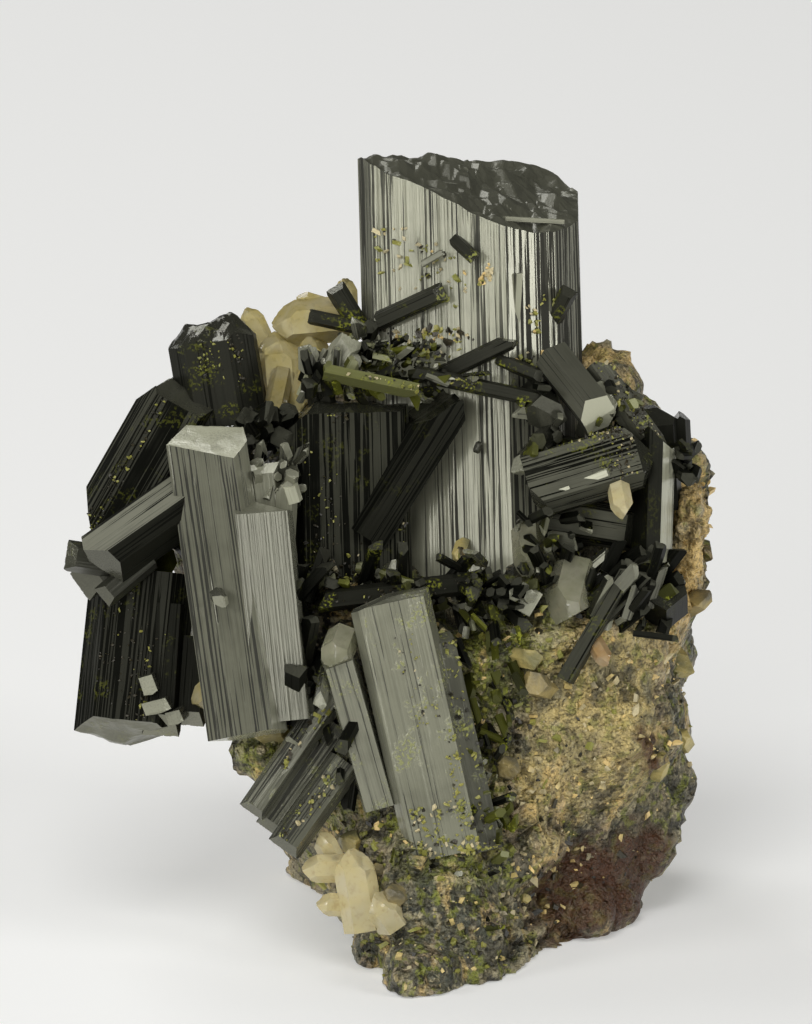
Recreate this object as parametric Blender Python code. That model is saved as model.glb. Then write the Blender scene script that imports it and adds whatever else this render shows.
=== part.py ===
"""Epidote on quartz: a hand specimen of intergrown crystals, in metres, +Z up.

Dark striated epidote prisms and small clear quartz crystals stand on a lump of quartz rock that is
broken flat underneath. Every place is given in millimetres in the specimen's own frame: x to the
right, y away from the front, z up. That frame leans back, and rests on the broken face.
"""

import itertools
import math
from collections import namedtuple

import bmesh
import bpy
import numpy as np
from mathutils import Matrix, Vector

MM = 0.001
LEAN = math.radians(16)
# Point of the broken face that lies under the middle of the specimen, and where that face begins
REST_X = 8.0
REST_Y = 13.0
FRONT_EDGE_Y = -14.5
GAP = 0.35
GRAIN_SEED = 7
GRAIN_COUNT = 52

Prism = namedtuple("Prism", "foot tip front corners ends")
FRONT = (0.0, -1.0, 0.0)


def ground_z(y):
    """Height, in the leaning frame, of the level broken face at depth y."""
    return (y - FRONT_EDGE_Y) * math.tan(LEAN)


def flat_six(width, depth, shift=0.0):
    """Corners of a flattened six-sided section, front left first; shift slides the front face."""
    w, d = width / 2, depth / 2
    return [(-w, 0.1 * d), (-0.6 * w + shift, -d), (0.6 * w + shift, -d),
            (w, -0.1 * d), (0.55 * w, d), (-0.65 * w, d)]


def board(width, depth):
    """Corners of a thin four-sided section with one narrow extra face."""
    w, d = width / 2, depth / 2
    return [(-w, -0.2 * d), (-0.7 * w, -d), (w, -0.8 * d), (0.9 * w, d), (-0.9 * w, 0.9 * d)]


def hexagon(width):
    """Corners of a six-sided section, width measured across its corners."""
    return [(width / 2 * math.cos(a), width / 2 * math.sin(a))
            for a in np.radians(range(0, 360, 60))]


def point(width, uneven=0.25):
    """End faces of a quartz crystal: six slopes, some of them larger than the others."""
    return [(30 + 60 * n, 51, uneven * width * (n % 3) / 2) for n in range(6)]


def chisel(azimuth=-90.0, tilt=38.0, ridge=0.0):
    """End faces of an epidote prism: two slopes that meet in a slanting edge."""
    return [(azimuth, tilt, ridge), (azimuth + 180, tilt + 14, ridge + 0.6)]


# The big prism: nine-sided, with a rough slanting end, and crystals grown on its front
TOWER = [
    Prism((8.9, 7, 46.6), (7.4, 10, 101.4), FRONT,
          [(-13.3, 1.5), (-11.8, -0.6), (4.2, -5.0), (10.2, -1.6), (13.2, 3.5),
           (13.4, 12.5), (10.5, 15.5), (-9.0, 13.0), (-13.2, 8.0)],
          [(-53.6, 33.2, 6.1), (0, 2, 0.3)]),
    Prism((-3.2, 6.8, 80.2), (5.0, 4.4, 83.9), FRONT, flat_six(2.4, 3.4), chisel()),
    Prism((4.4, 5.4, 73.8), (13.3, 3.0, 78.0), FRONT, flat_six(2.1, 3.2), chisel(0, 40)),
    Prism((11.3, 4.5, 75.4), (16.7, 1.8, 73.2), FRONT, flat_six(1.8, 2.4), chisel()),
    Prism((17.4, 9, 79.6), (20.0, 6, 84.4), FRONT, flat_six(2.2, 2.6), chisel()),
    Prism((6.0, 6.0, 89.8), (8.6, 2.6, 87.3), FRONT, flat_six(1.7, 1.8), chisel()),
    Prism((-5.0, 9.4, 78.4), (-8.8, 8.8, 84.6), FRONT, flat_six(2.6, 2.4), chisel()),
    Prism((-4.6, 8.4, 79.2), (-12.0, 8.2, 80.8), FRONT, flat_six(1.9, 2.2), chisel()),
]

# Two parallel blades at the front left; the larger one's end slopes to the front
LEFT_BLADE = [
    Prism((-19, -8, 30.4), (-24.4, -4, 68.2), FRONT,
          [(-4.7, 0), (3.2, -4.5), (5, -1.5), (4.5, 3.5), (-1.8, 3.6)],
          [(-90, 36, 2.4), (180, 42, -1.9), (0, 12, 0.4)]),
    Prism((-14.6, -8, 32.2), (-17.3, -8, 58.6), FRONT,
          [(-3.2, -2.6), (3.0, -3.0), (3.6, 1.5), (0, 4), (-3.2, 3)],
          [(-90, 22, 0.4), (0, 20, 0.4)]),
    Prism((-16.2, -3.4, 54.0), (-17.2, -4.4, 63.2), FRONT, flat_six(4.2, 4.4), chisel(-90, 30)),
    Prism((-14.8, -3.4, 54.0), (-14.4, -5.4, 61.6), FRONT, flat_six(3.2, 3.4), chisel(0, 34)),
]

DARK_BLOCK = [
    Prism((-6.0, 5.5, 46), (-6.6, 5, 70.4), (0.1, -1, 0),
          [(-8.2, -3.4), (-6.6, -5.6), (7.4, -5.4), (8.3, -4), (8, 5), (-7, 5.5)],
          [(0, 3, 0), (180, 42, -4.2), (-90, 35, -2.6)]),
    Prism((-9.8, 3.4, 68.6), (-10.8, 2.6, 74.2), FRONT, flat_six(3.4, 3.0), chisel(180, 40)),
    Prism((-8.6, 2.4, 33.6), (-12.2, 3.6, 57.0), FRONT, flat_six(6.4, 6.0), chisel()),
]

WEDGE = [
    Prism((-6.0, 2.6, 53.0), (3.0, 2.6, 71.2), (0.35, -1, -0.2), flat_six(6.4, 7.0),
          chisel(0, 50)),
]

CROSS_BAR = [
    Prism((0.6, 1.6, 73.9), (16.7, 0.2, 70.5), FRONT, flat_six(2.0, 2.8),
          [(-90, 30, 0), (180, 160, 0.5)]),
]

BROWN_BLADE = [
    Prism((-9.9, -2.4, 74.0), (1.4, -2.0, 71.6), (0, -1, 0.4), board(1.2, 3.0),
          [(90, 40, 0), (180, 150, 0.4)]),
    Prism((-9.0, -1.4, 74.6), (-9.6, 2.4, 71.6), (0, -1, 0), flat_six(1.8, 1.6), chisel()),
]

LEDGE_BAR = [
    Prism((-10.6, -6.6, 46.4), (9.4, -4.6, 48.8), FRONT, flat_six(2.8, 4.2),
          [(180, 150, 0.4), (0, 30, 0), (-90, 25, 0.4)]),
]

# Right of the tower: a striped prism that ends in a bright oblique face
STRIPED_PRISM = [
    Prism((17.6, 3.4, 75.6), (23.2, -2.2, 68.4), (0.35, -1, 0.35), flat_six(6.0, 5.2),
          [(-90, 35, 0), (0, 30, 0.4)]),
    Prism((15.4, 5.0, 70.8), (16.8, -1.0, 68.6), (-0.3, -1, 0.2), flat_six(4.6, 4.4),
          [(-90, 12, 0), (0, 30, 0.3)]),
]

ROUGH_BLADE = [
    Prism((22.4, 2.6, 74.6), (30.2, 1.0, 64.0), (0.2, -1, 0.4), flat_six(3.6, 5.0),
          [(180, 140, 0.3), (-90, 25, 0)]),
    Prism((22.6, 4.4, 67.0), (23.6, -1.6, 71.0), (-0.2, -1, 0.2), flat_six(4.4, 4.0),
          [(-90, 14, 0), (0, 24, 0.2)]),
]

RIGHT_PRISM = [
    Prism((14.8, -1.4, 59.8), (29.8, -1.6, 64.2), (0, -1, 0.3),
          [(-4.2, -0.6), (-3.2, -3.2), (2.8, -3.4), (3.9, -1.0), (3.0, 3.6), (-3.2, 3.4)],
          [(180, 38, 0.2), (0, 38, -0.5), (-90, 30, 0), (0, 150, -0.4)]),
    Prism((16.4, 2.6, 56.8), (28.6, 1.8, 54.8), FRONT, flat_six(5.4, 5.4), chisel()),
]

RIGHT_BLADE = [
    Prism((29.2, 0.2, 50.6), (29.7, 0.4, 67.6), (0.15, -1, 0),
          [(-2.4, 0), (-0.2, -2.8), (1.5, -3.1), (2.6, 1), (1, 4), (-1.5, 3.5)],
          chisel(180, 30)),
]

RIGHT_BACK = [
    Prism((30.6, 7.0, 57.6), (29.8, 5.0, 69.6), (0.2, -1, 0), flat_six(5.6, 5.4),
          [(0, 34, -0.4), (-90, 30, 0.2)]),
    Prism((33.0, 8.0, 62.0), (32.6, 6.6, 69.2), FRONT, flat_six(3.2, 3.4), chisel(0, 34)),
]

# Slender blades that lean up to the right, below the right blade
RIGHT_NEEDLES = [
    Prism((19.0, -3.0, 37.0), (27.4, -3.6, 51.4), (-0.2, -1, 0.1), board(2.0, 3.2),
          chisel(-90, 50)),
    Prism((22.0, -1.8, 42.6), (29.6, -2.6, 50.6), (-0.2, -1, 0.1), board(2.0, 3.0),
          chisel(-90, 50)),
]

RIGHT_CHUNK = [
    Prism((31.0, 4.0, 45.6), (30.8, -2.0, 48.4), (0.1, -1, 0.3), flat_six(5.6, 5.0),
          chisel(-90, 20)),
    Prism((30.4, 1.0, 47.6), (33.4, -2.0, 49.6), FRONT, flat_six(2.0, 2.0), chisel()),
]

LEFT_BACK = [
    Prism((-37.4, 5, 52.6), (-26.2, 4, 72.2), (-0.1, -1, 0),
          [(-4.6, -1.2), (-2.4, -4.4), (3.6, -4.2), (4.9, 0.4), (2.6, 4.5), (-3.4, 4)],
          [(180, 62, -4.3), (-90, 34, -0.6), (180, 130, 0.6)]),
]

# Stout prism with a rounded, many-sided end
KNOB = [
    Prism((-21.6, 6, 67.4), (-23.8, 6, 80.6), FRONT,
          [(-5.4, -1.4), (-3.4, -4.0), (1.8, -4.6), (5.0, -2.2), (5.3, 1.6), (2.6, 4.4),
           (-2.8, 4.4), (-5.3, 1.8)],
          [(0, 4, 0.2), (0, 50, -3.4), (180, 48, -3.2), (-90, 46, -1.6), (90, 42, -1.4),
           (-135, 56, -4.4), (-45, 56, -4.6), (135, 54, -4.4), (45, 54, -4.4)]),
]

ARM = [
    Prism((-24.8, -1.6, 59.4), (-37.6, -5.2, 50.4), (-0.3, -0.62, 0.72),
          [(-3.2, -0.8), (-2.4, -2.8), (2.6, -2.8), (3.6, 0.2), (1.6, 3.2), (-2.4, 2.8)],
          [(0, 25, 0), (180, 35, 0.4), (90, 30, 0.6)]),
    Prism((-33.2, -2.4, 50.8), (-41.0, -4.4, 52.0), FRONT, flat_six(3.8, 3.2), chisel(-90, 40)),
    Prism((-30.7, -2.6, 51.6), (-36.6, -4.0, 46.6), FRONT, flat_six(3.0, 3.0), chisel(-90, 40)),
    Prism((-31.0, -1.0, 54.0), (-39.4, -1.6, 48.0), FRONT, flat_six(4.2, 3.4), chisel(90, 40)),
]

# Stout prism that hangs down at the left, with two steps on its lower end
LOWER_LEFT = [
    Prism((-31.4, 2.6, 50.0), (-33.6, 1.6, 28.9), (-0.2, -1, 0.15),
          [(-6.6, -0.6), (-4.4, -4.2), (3.4, -4.4), (6.4, -1.2), (5.0, 4.4), (-5.2, 4.8)],
          [(-90, 30, 0.6), (0, 12, 0), (180, 24, 0.4)]),
    Prism((-28.4, 0.6, 46.0), (-29.4, -0.4, 30.0), FRONT, flat_six(4.6, 6.0), chisel(-90, 42)),
    Prism((-25.4, 2.0, 42.0), (-26.2, 1.0, 31.2), FRONT, flat_six(4.2, 6.0), chisel(-90, 30)),
]

FRONT_SLAB = [
    Prism((4.6, -9.0, 16.2), (-2.3, -12.0, 47.0), (0, -1, 0),
          [(-4.6, 0.5), (-3.7, -1.2), (4.3, -1.3), (5.1, 0.6), (4.4, 3.8), (-4.2, 3.8)],
          [(-90, 26, 0), (180, 12, 0)]),
    Prism((8.6, -7.8, 16.6), (2.6, -9.6, 42.6), (0.2, -1, 0), board(5.4, 4.4), chisel(-90, 34)),
    Prism((-3.8, -7.6, 22.0), (-9.2, -10.2, 40.4), (-0.2, -1, 0), board(3.4, 4.2),
          chisel(-90, 34)),
]

LEANING = [
    Prism((-8.8, -7.4, 35.2), (-18.6, -8.4, 21.0), (-0.1, -1, 0), flat_six(3.6, 3.8),
          chisel(-90, 30)),
    Prism((-7.2, -7.6, 27.2), (-14.8, -8.8, 16.6), (-0.1, -1, 0), flat_six(4.4, 4.2),
          chisel(-90, 30)),
    Prism((-8.0, -5.6, 31.4), (-16.8, -6.8, 19.0), (-0.1, -1, 0), flat_six(3.2, 3.6),
          chisel(-90, 36)),
]

QUARTZ_BACK_LEFT = [
    Prism((-6.6, 11.6, 80.6), (-17.6, 11.0, 79.6), FRONT, hexagon(5.6), point(5.6)),
    Prism((-17.0, 12, 76.6), (-19.7, 11, 82.5), FRONT, hexagon(3.2), point(3.2)),
    Prism((-8.4, 12.4, 81.6), (-13.8, 12, 83.2), FRONT, hexagon(2.2), point(2.2)),
    Prism((-7.1, 12, 79.6), (-7.4, 12, 86.8), FRONT, hexagon(2.8), point(2.8, 0.5)),
    Prism((-14.8, 11.0, 67.4), (-15.8, 10.0, 80.6), FRONT, hexagon(6.4), point(6.4)),
    Prism((-10.8, 10.6, 70.6), (-11.4, 10.2, 79.8), FRONT, hexagon(4.4), point(4.4)),
    Prism((-14.9, 8.6, 74.0), (-16.2, 4.6, 67.6), FRONT, hexagon(2.8), point(2.8)),
]

QUARTZ_BOTTOM_LEFT = [
    Prism((-4.6, -8.4, 5.4), (-6.8, -9.4, 18.2), FRONT, hexagon(5.0), point(5.0)),
    Prism((-6.4, -7.6, 14.6), (-13.3, -8.4, 14.5), FRONT, hexagon(3.4), point(3.4)),
    Prism((-6.6, -7.6, 10.2), (-11.4, -8.2, 10.3), FRONT, hexagon(2.8), point(2.8)),
    Prism((-1.4, -9.8, 8.0), (-4.4, -12.2, 12.4), FRONT, hexagon(4.4), point(4.4)),
    Prism((-8.4, -5.4, 15.0), (-10.6, -7.6, 19.4), FRONT, hexagon(2.8), point(2.8)),
]

QUARTZ_SINGLES = {
    "quartz_right_point": Prism((25.0, -3.4, 62.2), (26.3, -6.2, 55.2), (-0.2, -1, 0),
                                hexagon(2.8), point(2.8, 0.5)),
    "quartz_grey": Prism((20.6, -0.6, 51.2), (17.6, -5.8, 41.4), (0, -1, 0.2),
                         hexagon(5.6), point(5.6)),
    "quartz_pair": Prism((14.6, 1.6, 55.0), (15.0, -2.6, 48.6), FRONT, hexagon(4.0), point(4.0)),
    "quartz_front": Prism((-7.4, -9.2, 42.4), (-9.0, -13.8, 38.2), (0.1, -1, 0.3),
                          hexagon(4.0), point(4.0)),
    "quartz_left": Prism((-23.6, 1.4, 36.4), (-24.8, -3.8, 34.0), (0, -1, 0.3),
                         hexagon(3.6), point(3.6)),
    "quartz_lower_front": Prism((-15.0, -1.0, 32.0), (-17.6, -6.4, 29.6), (0, -1, 0.3),
                                hexagon(4.4), point(4.4)),
    "quartz_shard": Prism((13.4, -1.4, 45.2), (14.6, -4.2, 48.8), FRONT, hexagon(2.8),
                          point(2.8, 0.6)),
    "quartz_orange_point": Prism((22.2, -2.4, 42.2), (24.4, -5.0, 38.4), FRONT, hexagon(2.2),
                                 point(2.2)),
}

# Front pieces come first and stay whole: each later node is cut clear of the ones before it
EPIDOTE_NODES = {
    "epidote_left_blade": LEFT_BLADE,
    "epidote_front_slab": FRONT_SLAB,
    "epidote_leaning": LEANING,
    "epidote_arm": ARM,
    "epidote_brown_blade": BROWN_BLADE,
    "epidote_cross_bar": CROSS_BAR,
    "epidote_ledge_bar": LEDGE_BAR,
    "epidote_tower": TOWER,
    "epidote_dark_block": DARK_BLOCK,
    "epidote_wedge": WEDGE,
    "epidote_lower_left": LOWER_LEFT,
    "epidote_right_prism": RIGHT_PRISM,
    "epidote_striped_prism": STRIPED_PRISM,
    "epidote_rough_blade": ROUGH_BLADE,
    "epidote_right_blade": RIGHT_BLADE,
    "epidote_right_needles": RIGHT_NEEDLES,
    "epidote_right_chunk": RIGHT_CHUNK,
    "epidote_right_back": RIGHT_BACK,
    "epidote_knob": KNOB,
    "epidote_left_back": LEFT_BACK,
}
QUARTZ_NODES = {
    "quartz_back_left": QUARTZ_BACK_LEFT,
    "quartz_bottom_left": QUARTZ_BOTTOM_LEFT,
    **{name: [prism] for name, prism in QUARTZ_SINGLES.items()},
}

# The rock: at each height, its middle (x, y) and its radius every 30 degrees from +x towards +y
ROCK_LEVELS = {
    -8: ((4, 10), (20, 29, 31, 27, 27, 13.5, 9, 9.5, 15, 24, 14.5, 13.5)),
    4: ((4, 10), (21, 30, 32, 28, 28, 14.5, 10, 10.5, 16.5, 25, 16, 14.5)),
    15: ((5, 12), (21.5, 27.5, 32, 26, 30, 19, 15.5, 16, 18.5, 22, 18.5, 18)),
    28: ((6, 13.5), (28.5, 31, 28, 24.5, 27.5, 27.5, 25, 23, 20.5, 20, 20.5, 25)),
    42: ((4, 15), (30.5, 31, 26, 22, 25, 30, 30, 26, 21.5, 20.5, 21, 26.5)),
    56: ((3, 18.5), (33, 28.5, 20, 17, 20, 27, 31, 23, 16.5, 14.5, 16, 24.5)),
    67: ((4.5, 20), (30, 23, 16, 12.5, 15, 20, 24, 18, 12.5, 10.8, 11.8, 19)),
    75: ((6, 19.5), (14, 13, 11, 9, 10.5, 13, 15, 12, 9, 7.5, 8, 10)),
}
ROCK_TOP = 78.0
ROCK_ROWS = 28
ROCK_COLUMNS = 51
# Lumps of the rock, joined to it: middle and half sizes
ROCK_LUMPS = [
    ((21.9, 17.0, 72.0), (4.9, 6.0, 4.7)),
    ((24.6, 15.0, 71.2), (2.9, 4.4, 2.9)),
    ((20.6, 7.6, 9.4), (5.6, 4.6, 4.8)),
    ((24.4, 10.4, 8.8), (3.6, 4.4, 3.6)),
    ((34.4, 8.0, 55.0), (2.4, 4.0, 5.6)),
    ((-16.4, 1.0, 28.0), (4.0, 5.0, 3.8)),
    ((28.0, 16.0, 20.0), (3.4, 5.0, 6.0)),
]
# Size and depth of the rock's bumps, from its broken faces down to its smallest steps
BUMPS = [(15.0, 2.4), (8.0, 1.3), (4.2, 0.7)]


def material(name, colour, roughness):
    """A Principled material of one colour."""
    new = bpy.data.materials.new(name)
    new.use_nodes = True
    shader = new.node_tree.nodes["Principled BSDF"]
    shader.inputs["Base Color"].default_value = (*colour, 1)
    shader.inputs["Roughness"].default_value = roughness
    new.diffuse_color = (*colour, 1)
    return new


def lattice_noise(places, seed):
    """Smooth noise from -1 to 1: a random number at each whole point, blended between them."""
    low = np.floor(places).astype(np.int64)
    part = places - low
    part = part * part * (3 - 2 * part)
    total = np.zeros(places.shape[:-1])
    for corner in itertools.product((0, 1), repeat=3):
        x, y, z = np.moveaxis(low + corner, -1, 0)
        mixed = (x * 374761393 + y * 668265263 + z * 1442695041 + seed * 974711) & 0xFFFFFFFF
        mixed = ((mixed ^ (mixed >> 13)) * 1274126177) & 0xFFFFFFFF
        value = ((mixed >> 8) & 0xFFFF) / 32767.5 - 1
        total += value * np.prod(np.where(corner, part, 1 - part), axis=-1)
    return total


def roughened(places, outward):
    """Places moved along their outward directions by bumps with a sharp crease between them."""
    shift = np.zeros(places.shape[:-1])
    for seed, (size, depth) in enumerate(BUMPS):
        shift += depth * (2 * np.abs(lattice_noise(places / size, seed)) - 0.6)
    return places + outward * shift[..., None]


def rock_surface(heights, columns):
    """The rock's skin: a ring of radii at each height, smooth round the ring, roughened."""
    levels = sorted(ROCK_LEVELS)
    middles = np.array([ROCK_LEVELS[z][0] for z in levels], float)
    rings = np.array([ROCK_LEVELS[z][1] for z in levels], float)
    smooth = np.fft.irfft(np.fft.rfft(rings, axis=1), columns, axis=1) * columns / rings.shape[1]
    radii = np.stack([np.interp(heights, levels, column) for column in smooth.T], axis=1)
    closing = np.clip((ROCK_TOP - heights) / (ROCK_TOP - levels[-1]), 0, 1) ** 0.5
    radii *= closing[:, None]
    turn = np.linspace(0, 2 * np.pi, columns, endpoint=False)
    x = np.interp(heights, levels, middles[:, 0])[:, None] + radii * np.cos(turn)
    y = np.interp(heights, levels, middles[:, 1])[:, None] + radii * np.sin(turn)
    z = np.broadcast_to(heights[:, None], x.shape)
    outward = np.stack(np.broadcast_arrays(np.cos(turn), np.sin(turn), 0.25), axis=-1)
    return roughened(np.stack([x, y, z], axis=-1), np.broadcast_to(outward, (*x.shape, 3)))


def close_rings(rings):
    """Points and faces of a closed skin through rings of points, with a point at each end."""
    rows, columns = rings.shape[:2]
    points = [*rings.reshape(-1, 3), rings[0].mean(axis=0), rings[-1].mean(axis=0)]
    bottom, top = rows * columns, rows * columns + 1
    faces = []
    for c in range(columns):
        d = (c + 1) % columns
        faces += [(r * columns + c, r * columns + d, (r + 1) * columns + d, (r + 1) * columns + c)
                  for r in range(rows - 1)]
        faces += [(d, c, bottom), ((rows - 1) * columns + c, (rows - 1) * columns + d, top)]
    return points, faces


def new_object(name, mesh, finish):
    """An object of the specimen, in its leaning frame."""
    thing = bpy.data.objects.new(name, mesh)
    bpy.context.collection.objects.link(thing)
    thing.parent = bpy.data.objects["specimen"]
    if finish:
        mesh.materials.clear()
        mesh.materials.append(finish)
    return thing


def skin_object(name, points, faces, finish):
    """An object from points in millimetres and faces, split into triangles."""
    mesh = bpy.data.meshes.new(name)
    mesh.from_pydata([Vector(p) * MM for p in points], [], faces)
    shape = bmesh.new()
    shape.from_mesh(mesh)
    bmesh.ops.triangulate(shape, faces=shape.faces)
    bmesh.ops.recalc_face_normals(shape, faces=shape.faces)
    shape.to_mesh(mesh)
    shape.free()
    return new_object(name, mesh, finish)


def prism_axes(prism):
    """The prism's own axes: Z from foot to tip, Y away from its front, X to the right."""
    along = (Vector(prism.tip) - Vector(prism.foot)).normalized()
    away = -Vector(prism.front)
    away = (away - away.dot(along) * along).normalized()
    axes = Matrix((away.cross(along), away, along)).transposed()
    return Matrix.Translation(Vector(prism.foot) * MM) @ axes.to_4x4()


def prism_planes(prism):
    """A point and an outward direction for every flat face of the prism, in its own axes."""
    length = (Vector(prism.tip) - Vector(prism.foot)).length
    corners = prism.corners
    planes = [(Vector((0, 0, 0)), Vector((0, 0, -1))), (Vector((0, 0, length)), Vector((0, 0, 1)))]
    for (x, y), (next_x, next_y) in zip(corners, corners[1:] + corners[:1]):
        planes.append((Vector((x, y, 0)), Vector((next_y - y, x - next_x, 0)).normalized()))
    for azimuth, tilt, back in prism.ends:
        turn, lean = math.radians(azimuth), math.radians(tilt)
        level = back if tilt > 90 else length - back
        outward = (math.sin(lean) * math.cos(turn), math.sin(lean) * math.sin(turn), math.cos(lean))
        planes.append((Vector((0, 0, level)), Vector(outward)))
    return planes


def prism_object(name, prism, finish=None, grow=0.0):
    """A block cut down by each of the prism's planes, moved outward by grow millimetres."""
    shape = bmesh.new()
    bmesh.ops.create_cube(shape, size=0.4)
    for place, outward in prism_planes(prism):
        cut = bmesh.ops.bisect_plane(
            shape, geom=[*shape.verts, *shape.edges, *shape.faces], dist=1e-7,
            plane_co=(place + outward * grow) * MM, plane_no=outward, clear_outer=True)
        edges = [item for item in cut["geom_cut"] if isinstance(item, bmesh.types.BMEdge)]
        if edges:
            bmesh.ops.edgeloop_fill(shape, edges=edges)
    bmesh.ops.recalc_face_normals(shape, faces=shape.faces)
    mesh = bpy.data.meshes.new(name)
    shape.to_mesh(mesh)
    shape.free()
    thing = new_object(name, mesh, finish)
    thing.matrix_local = prism_axes(prism)
    return thing


def keep_largest_body(mesh):
    """Delete every separate body of the mesh but the one with the greatest volume."""
    shape = bmesh.new()
    shape.from_mesh(mesh)
    left = set(shape.faces)
    bodies = []
    while left:
        body = set()
        edge = [left.pop()]
        while edge:
            face = edge.pop()
            body.add(face)
            near = {other for side in face.edges for other in side.link_faces} & left
            left -= near
            edge.extend(near)
        bodies.append(body)
    bodies.sort(key=lambda body: abs(sum(
        face.calc_center_median().dot(face.normal) * face.calc_area() for face in body)))
    spare = [face for body in bodies[:-1] for face in body]
    bmesh.ops.delete(shape, geom=spare, context="FACES")
    shape.to_mesh(mesh)
    shape.free()


def combine(thing, others, operation):
    """Join other closed solids to this one, or cut them out of it, and remove them."""
    if not others:
        return
    group = bpy.data.collections.new("operands")
    bpy.context.scene.collection.children.link(group)
    for other in others:
        group.objects.link(other)
    change = thing.modifiers.new(operation.lower(), "BOOLEAN")
    change.operation = operation
    change.solver = "EXACT"
    change.operand_type = "COLLECTION"
    change.collection = group
    bpy.context.view_layer.update()
    ready = thing.evaluated_get(bpy.context.evaluated_depsgraph_get())
    mesh = bpy.data.meshes.new_from_object(ready)
    thing.modifiers.clear()
    thing.data = mesh
    keep_largest_body(mesh)
    for other in others:
        bpy.data.objects.remove(other)
    bpy.data.collections.remove(group)


def box_of(thing):
    """Lowest and highest corners of an object in the scene."""
    bpy.context.view_layer.update()
    corners = np.array([thing.matrix_world @ Vector(corner) for corner in thing.bound_box])
    return corners.min(axis=0), corners.max(axis=0)


def cut_clear(thing, prisms):
    """Cut away what comes closer than the gap to the given prisms."""
    low, high = box_of(thing)
    cutters = []
    for prism in prisms:
        cutter = prism_object("cutter", prism, grow=GAP)
        cutter_low, cutter_high = box_of(cutter)
        if (cutter_low < high).all() and (cutter_high > low).all():
            cutters.append(cutter)
        else:
            bpy.data.objects.remove(cutter)
    combine(thing, cutters, "DIFFERENCE")


def crystal_node(name, prisms, finish, placed):
    """One node: its prisms grown together, cut clear of the prisms placed before it."""
    node = prism_object(name, prisms[0], finish)
    combine(node, [prism_object("branch", prism) for prism in prisms[1:]], "UNION")
    cut_clear(node, placed)
    node.data.materials.clear()
    node.data.materials.append(finish)
    placed.extend(prisms)


def lump_object(middle, half_sizes):
    """A rough round lump of the rock."""
    rows = np.linspace(0, np.pi, 9)[1:-1]
    turn = np.linspace(0, 2 * np.pi, 14, endpoint=False)
    outward = np.stack(np.broadcast_arrays(
        np.sin(rows)[:, None] * np.cos(turn), np.sin(rows)[:, None] * np.sin(turn),
        -np.cos(rows)[:, None]), axis=-1)
    rings = roughened(np.array(middle) + outward * half_sizes, outward * 0.7)
    return skin_object("lump", *close_rings(rings), None)


def grain_prisms(surface):
    """Small prisms that stand on the front of the rock, at random but always the same."""
    chance = np.random.default_rng(GRAIN_SEED)
    columns = surface.shape[1]
    grains = []
    for _ in range(GRAIN_COUNT):
        row = chance.integers(2, surface.shape[0] - 8)
        column = int(columns * chance.uniform(0.6, 1.05)) % columns
        foot = surface[row, column]
        lean = np.array([chance.normal(0.2, 0.6), -1, chance.normal(0.2, 0.6)])
        width = chance.uniform(1.4, 3.4)
        tip = foot + lean / np.linalg.norm(lean) * width * chance.uniform(0.7, 1.3)
        foot = foot - lean / np.linalg.norm(lean) * 2.0
        ends = chisel(chance.uniform(0, 360)) if chance.random() < 0.5 else point(width)
        corners = flat_six(width, width * 0.8) if chance.random() < 0.5 else hexagon(width)
        grains.append(Prism(tuple(foot), tuple(tip), (1.0, 0.2, 0.3), corners, ends))
    return grains


def rock_node(finish, placed):
    """The rock with its lumps and grains, broken flat underneath, cut clear of the crystals."""
    heights = np.linspace(min(ROCK_LEVELS), ROCK_TOP - 0.4, ROCK_ROWS)
    surface = rock_surface(heights, ROCK_COLUMNS)
    rock = skin_object("quartz_matrix", *close_rings(surface), finish)
    combine(rock, [lump_object(*lump) for lump in ROCK_LUMPS], "UNION")
    for grain in grain_prisms(surface):
        combine(rock, [prism_object("grain", grain)], "UNION")
    shape = bmesh.new()
    shape.from_mesh(rock.data)
    cut = bmesh.ops.bisect_plane(
        shape, geom=[*shape.verts, *shape.edges, *shape.faces], dist=1e-7, clear_outer=True,
        plane_co=Vector((0, FRONT_EDGE_Y, 0)) * MM,
        plane_no=Vector((0, math.sin(LEAN), -math.cos(LEAN))))
    edges = [item for item in cut["geom_cut"] if isinstance(item, bmesh.types.BMEdge)]
    bmesh.ops.edgeloop_fill(shape, edges=edges)
    bmesh.ops.triangulate(shape, faces=[face for face in shape.faces if len(face.verts) > 4])
    shape.to_mesh(rock.data)
    shape.free()
    cut_clear(rock, placed)
    rock.data.materials.clear()
    rock.data.materials.append(finish)


def leaning_frame():
    """The empty that carries all pieces: leaned back, the broken face's middle at the origin."""
    frame = bpy.data.objects.new("specimen", None)
    bpy.context.collection.objects.link(frame)
    rest = Vector((REST_X, REST_Y, ground_z(REST_Y))) * MM
    turn = Matrix.Rotation(-LEAN, 4, "X")
    frame.matrix_world = turn @ Matrix.Translation(-rest)


def main():
    for old in list(bpy.data.objects):
        bpy.data.objects.remove(old)
    leaning_frame()
    epidote = material("epidote", (0.035, 0.042, 0.032), 0.25)
    quartz = material("quartz", (0.62, 0.60, 0.50), 0.15)
    rock = material("quartz_rock", (0.36, 0.31, 0.19), 0.7)
    placed = []
    for name, prisms in EPIDOTE_NODES.items():
        crystal_node(name, prisms, epidote, placed)
    for name, prisms in QUARTZ_NODES.items():
        crystal_node(name, prisms, quartz, placed)
    rock_node(rock, placed)


main()
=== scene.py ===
"""Epidote on quartz: the looks of the specimen, built on the packed CAD frame.

Crystals and rock are given in millimetres in the specimen's leaning frame: x to the right, y away
from the front, z up. Every surface is turned into the row frame, in metres, when its mesh is made.
"""

import itertools
import math
from collections import namedtuple

import bpy
import numpy as np
from bpy.props import FloatProperty, FloatVectorProperty, IntProperty, PointerProperty
from mathutils import Matrix, Vector


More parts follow.
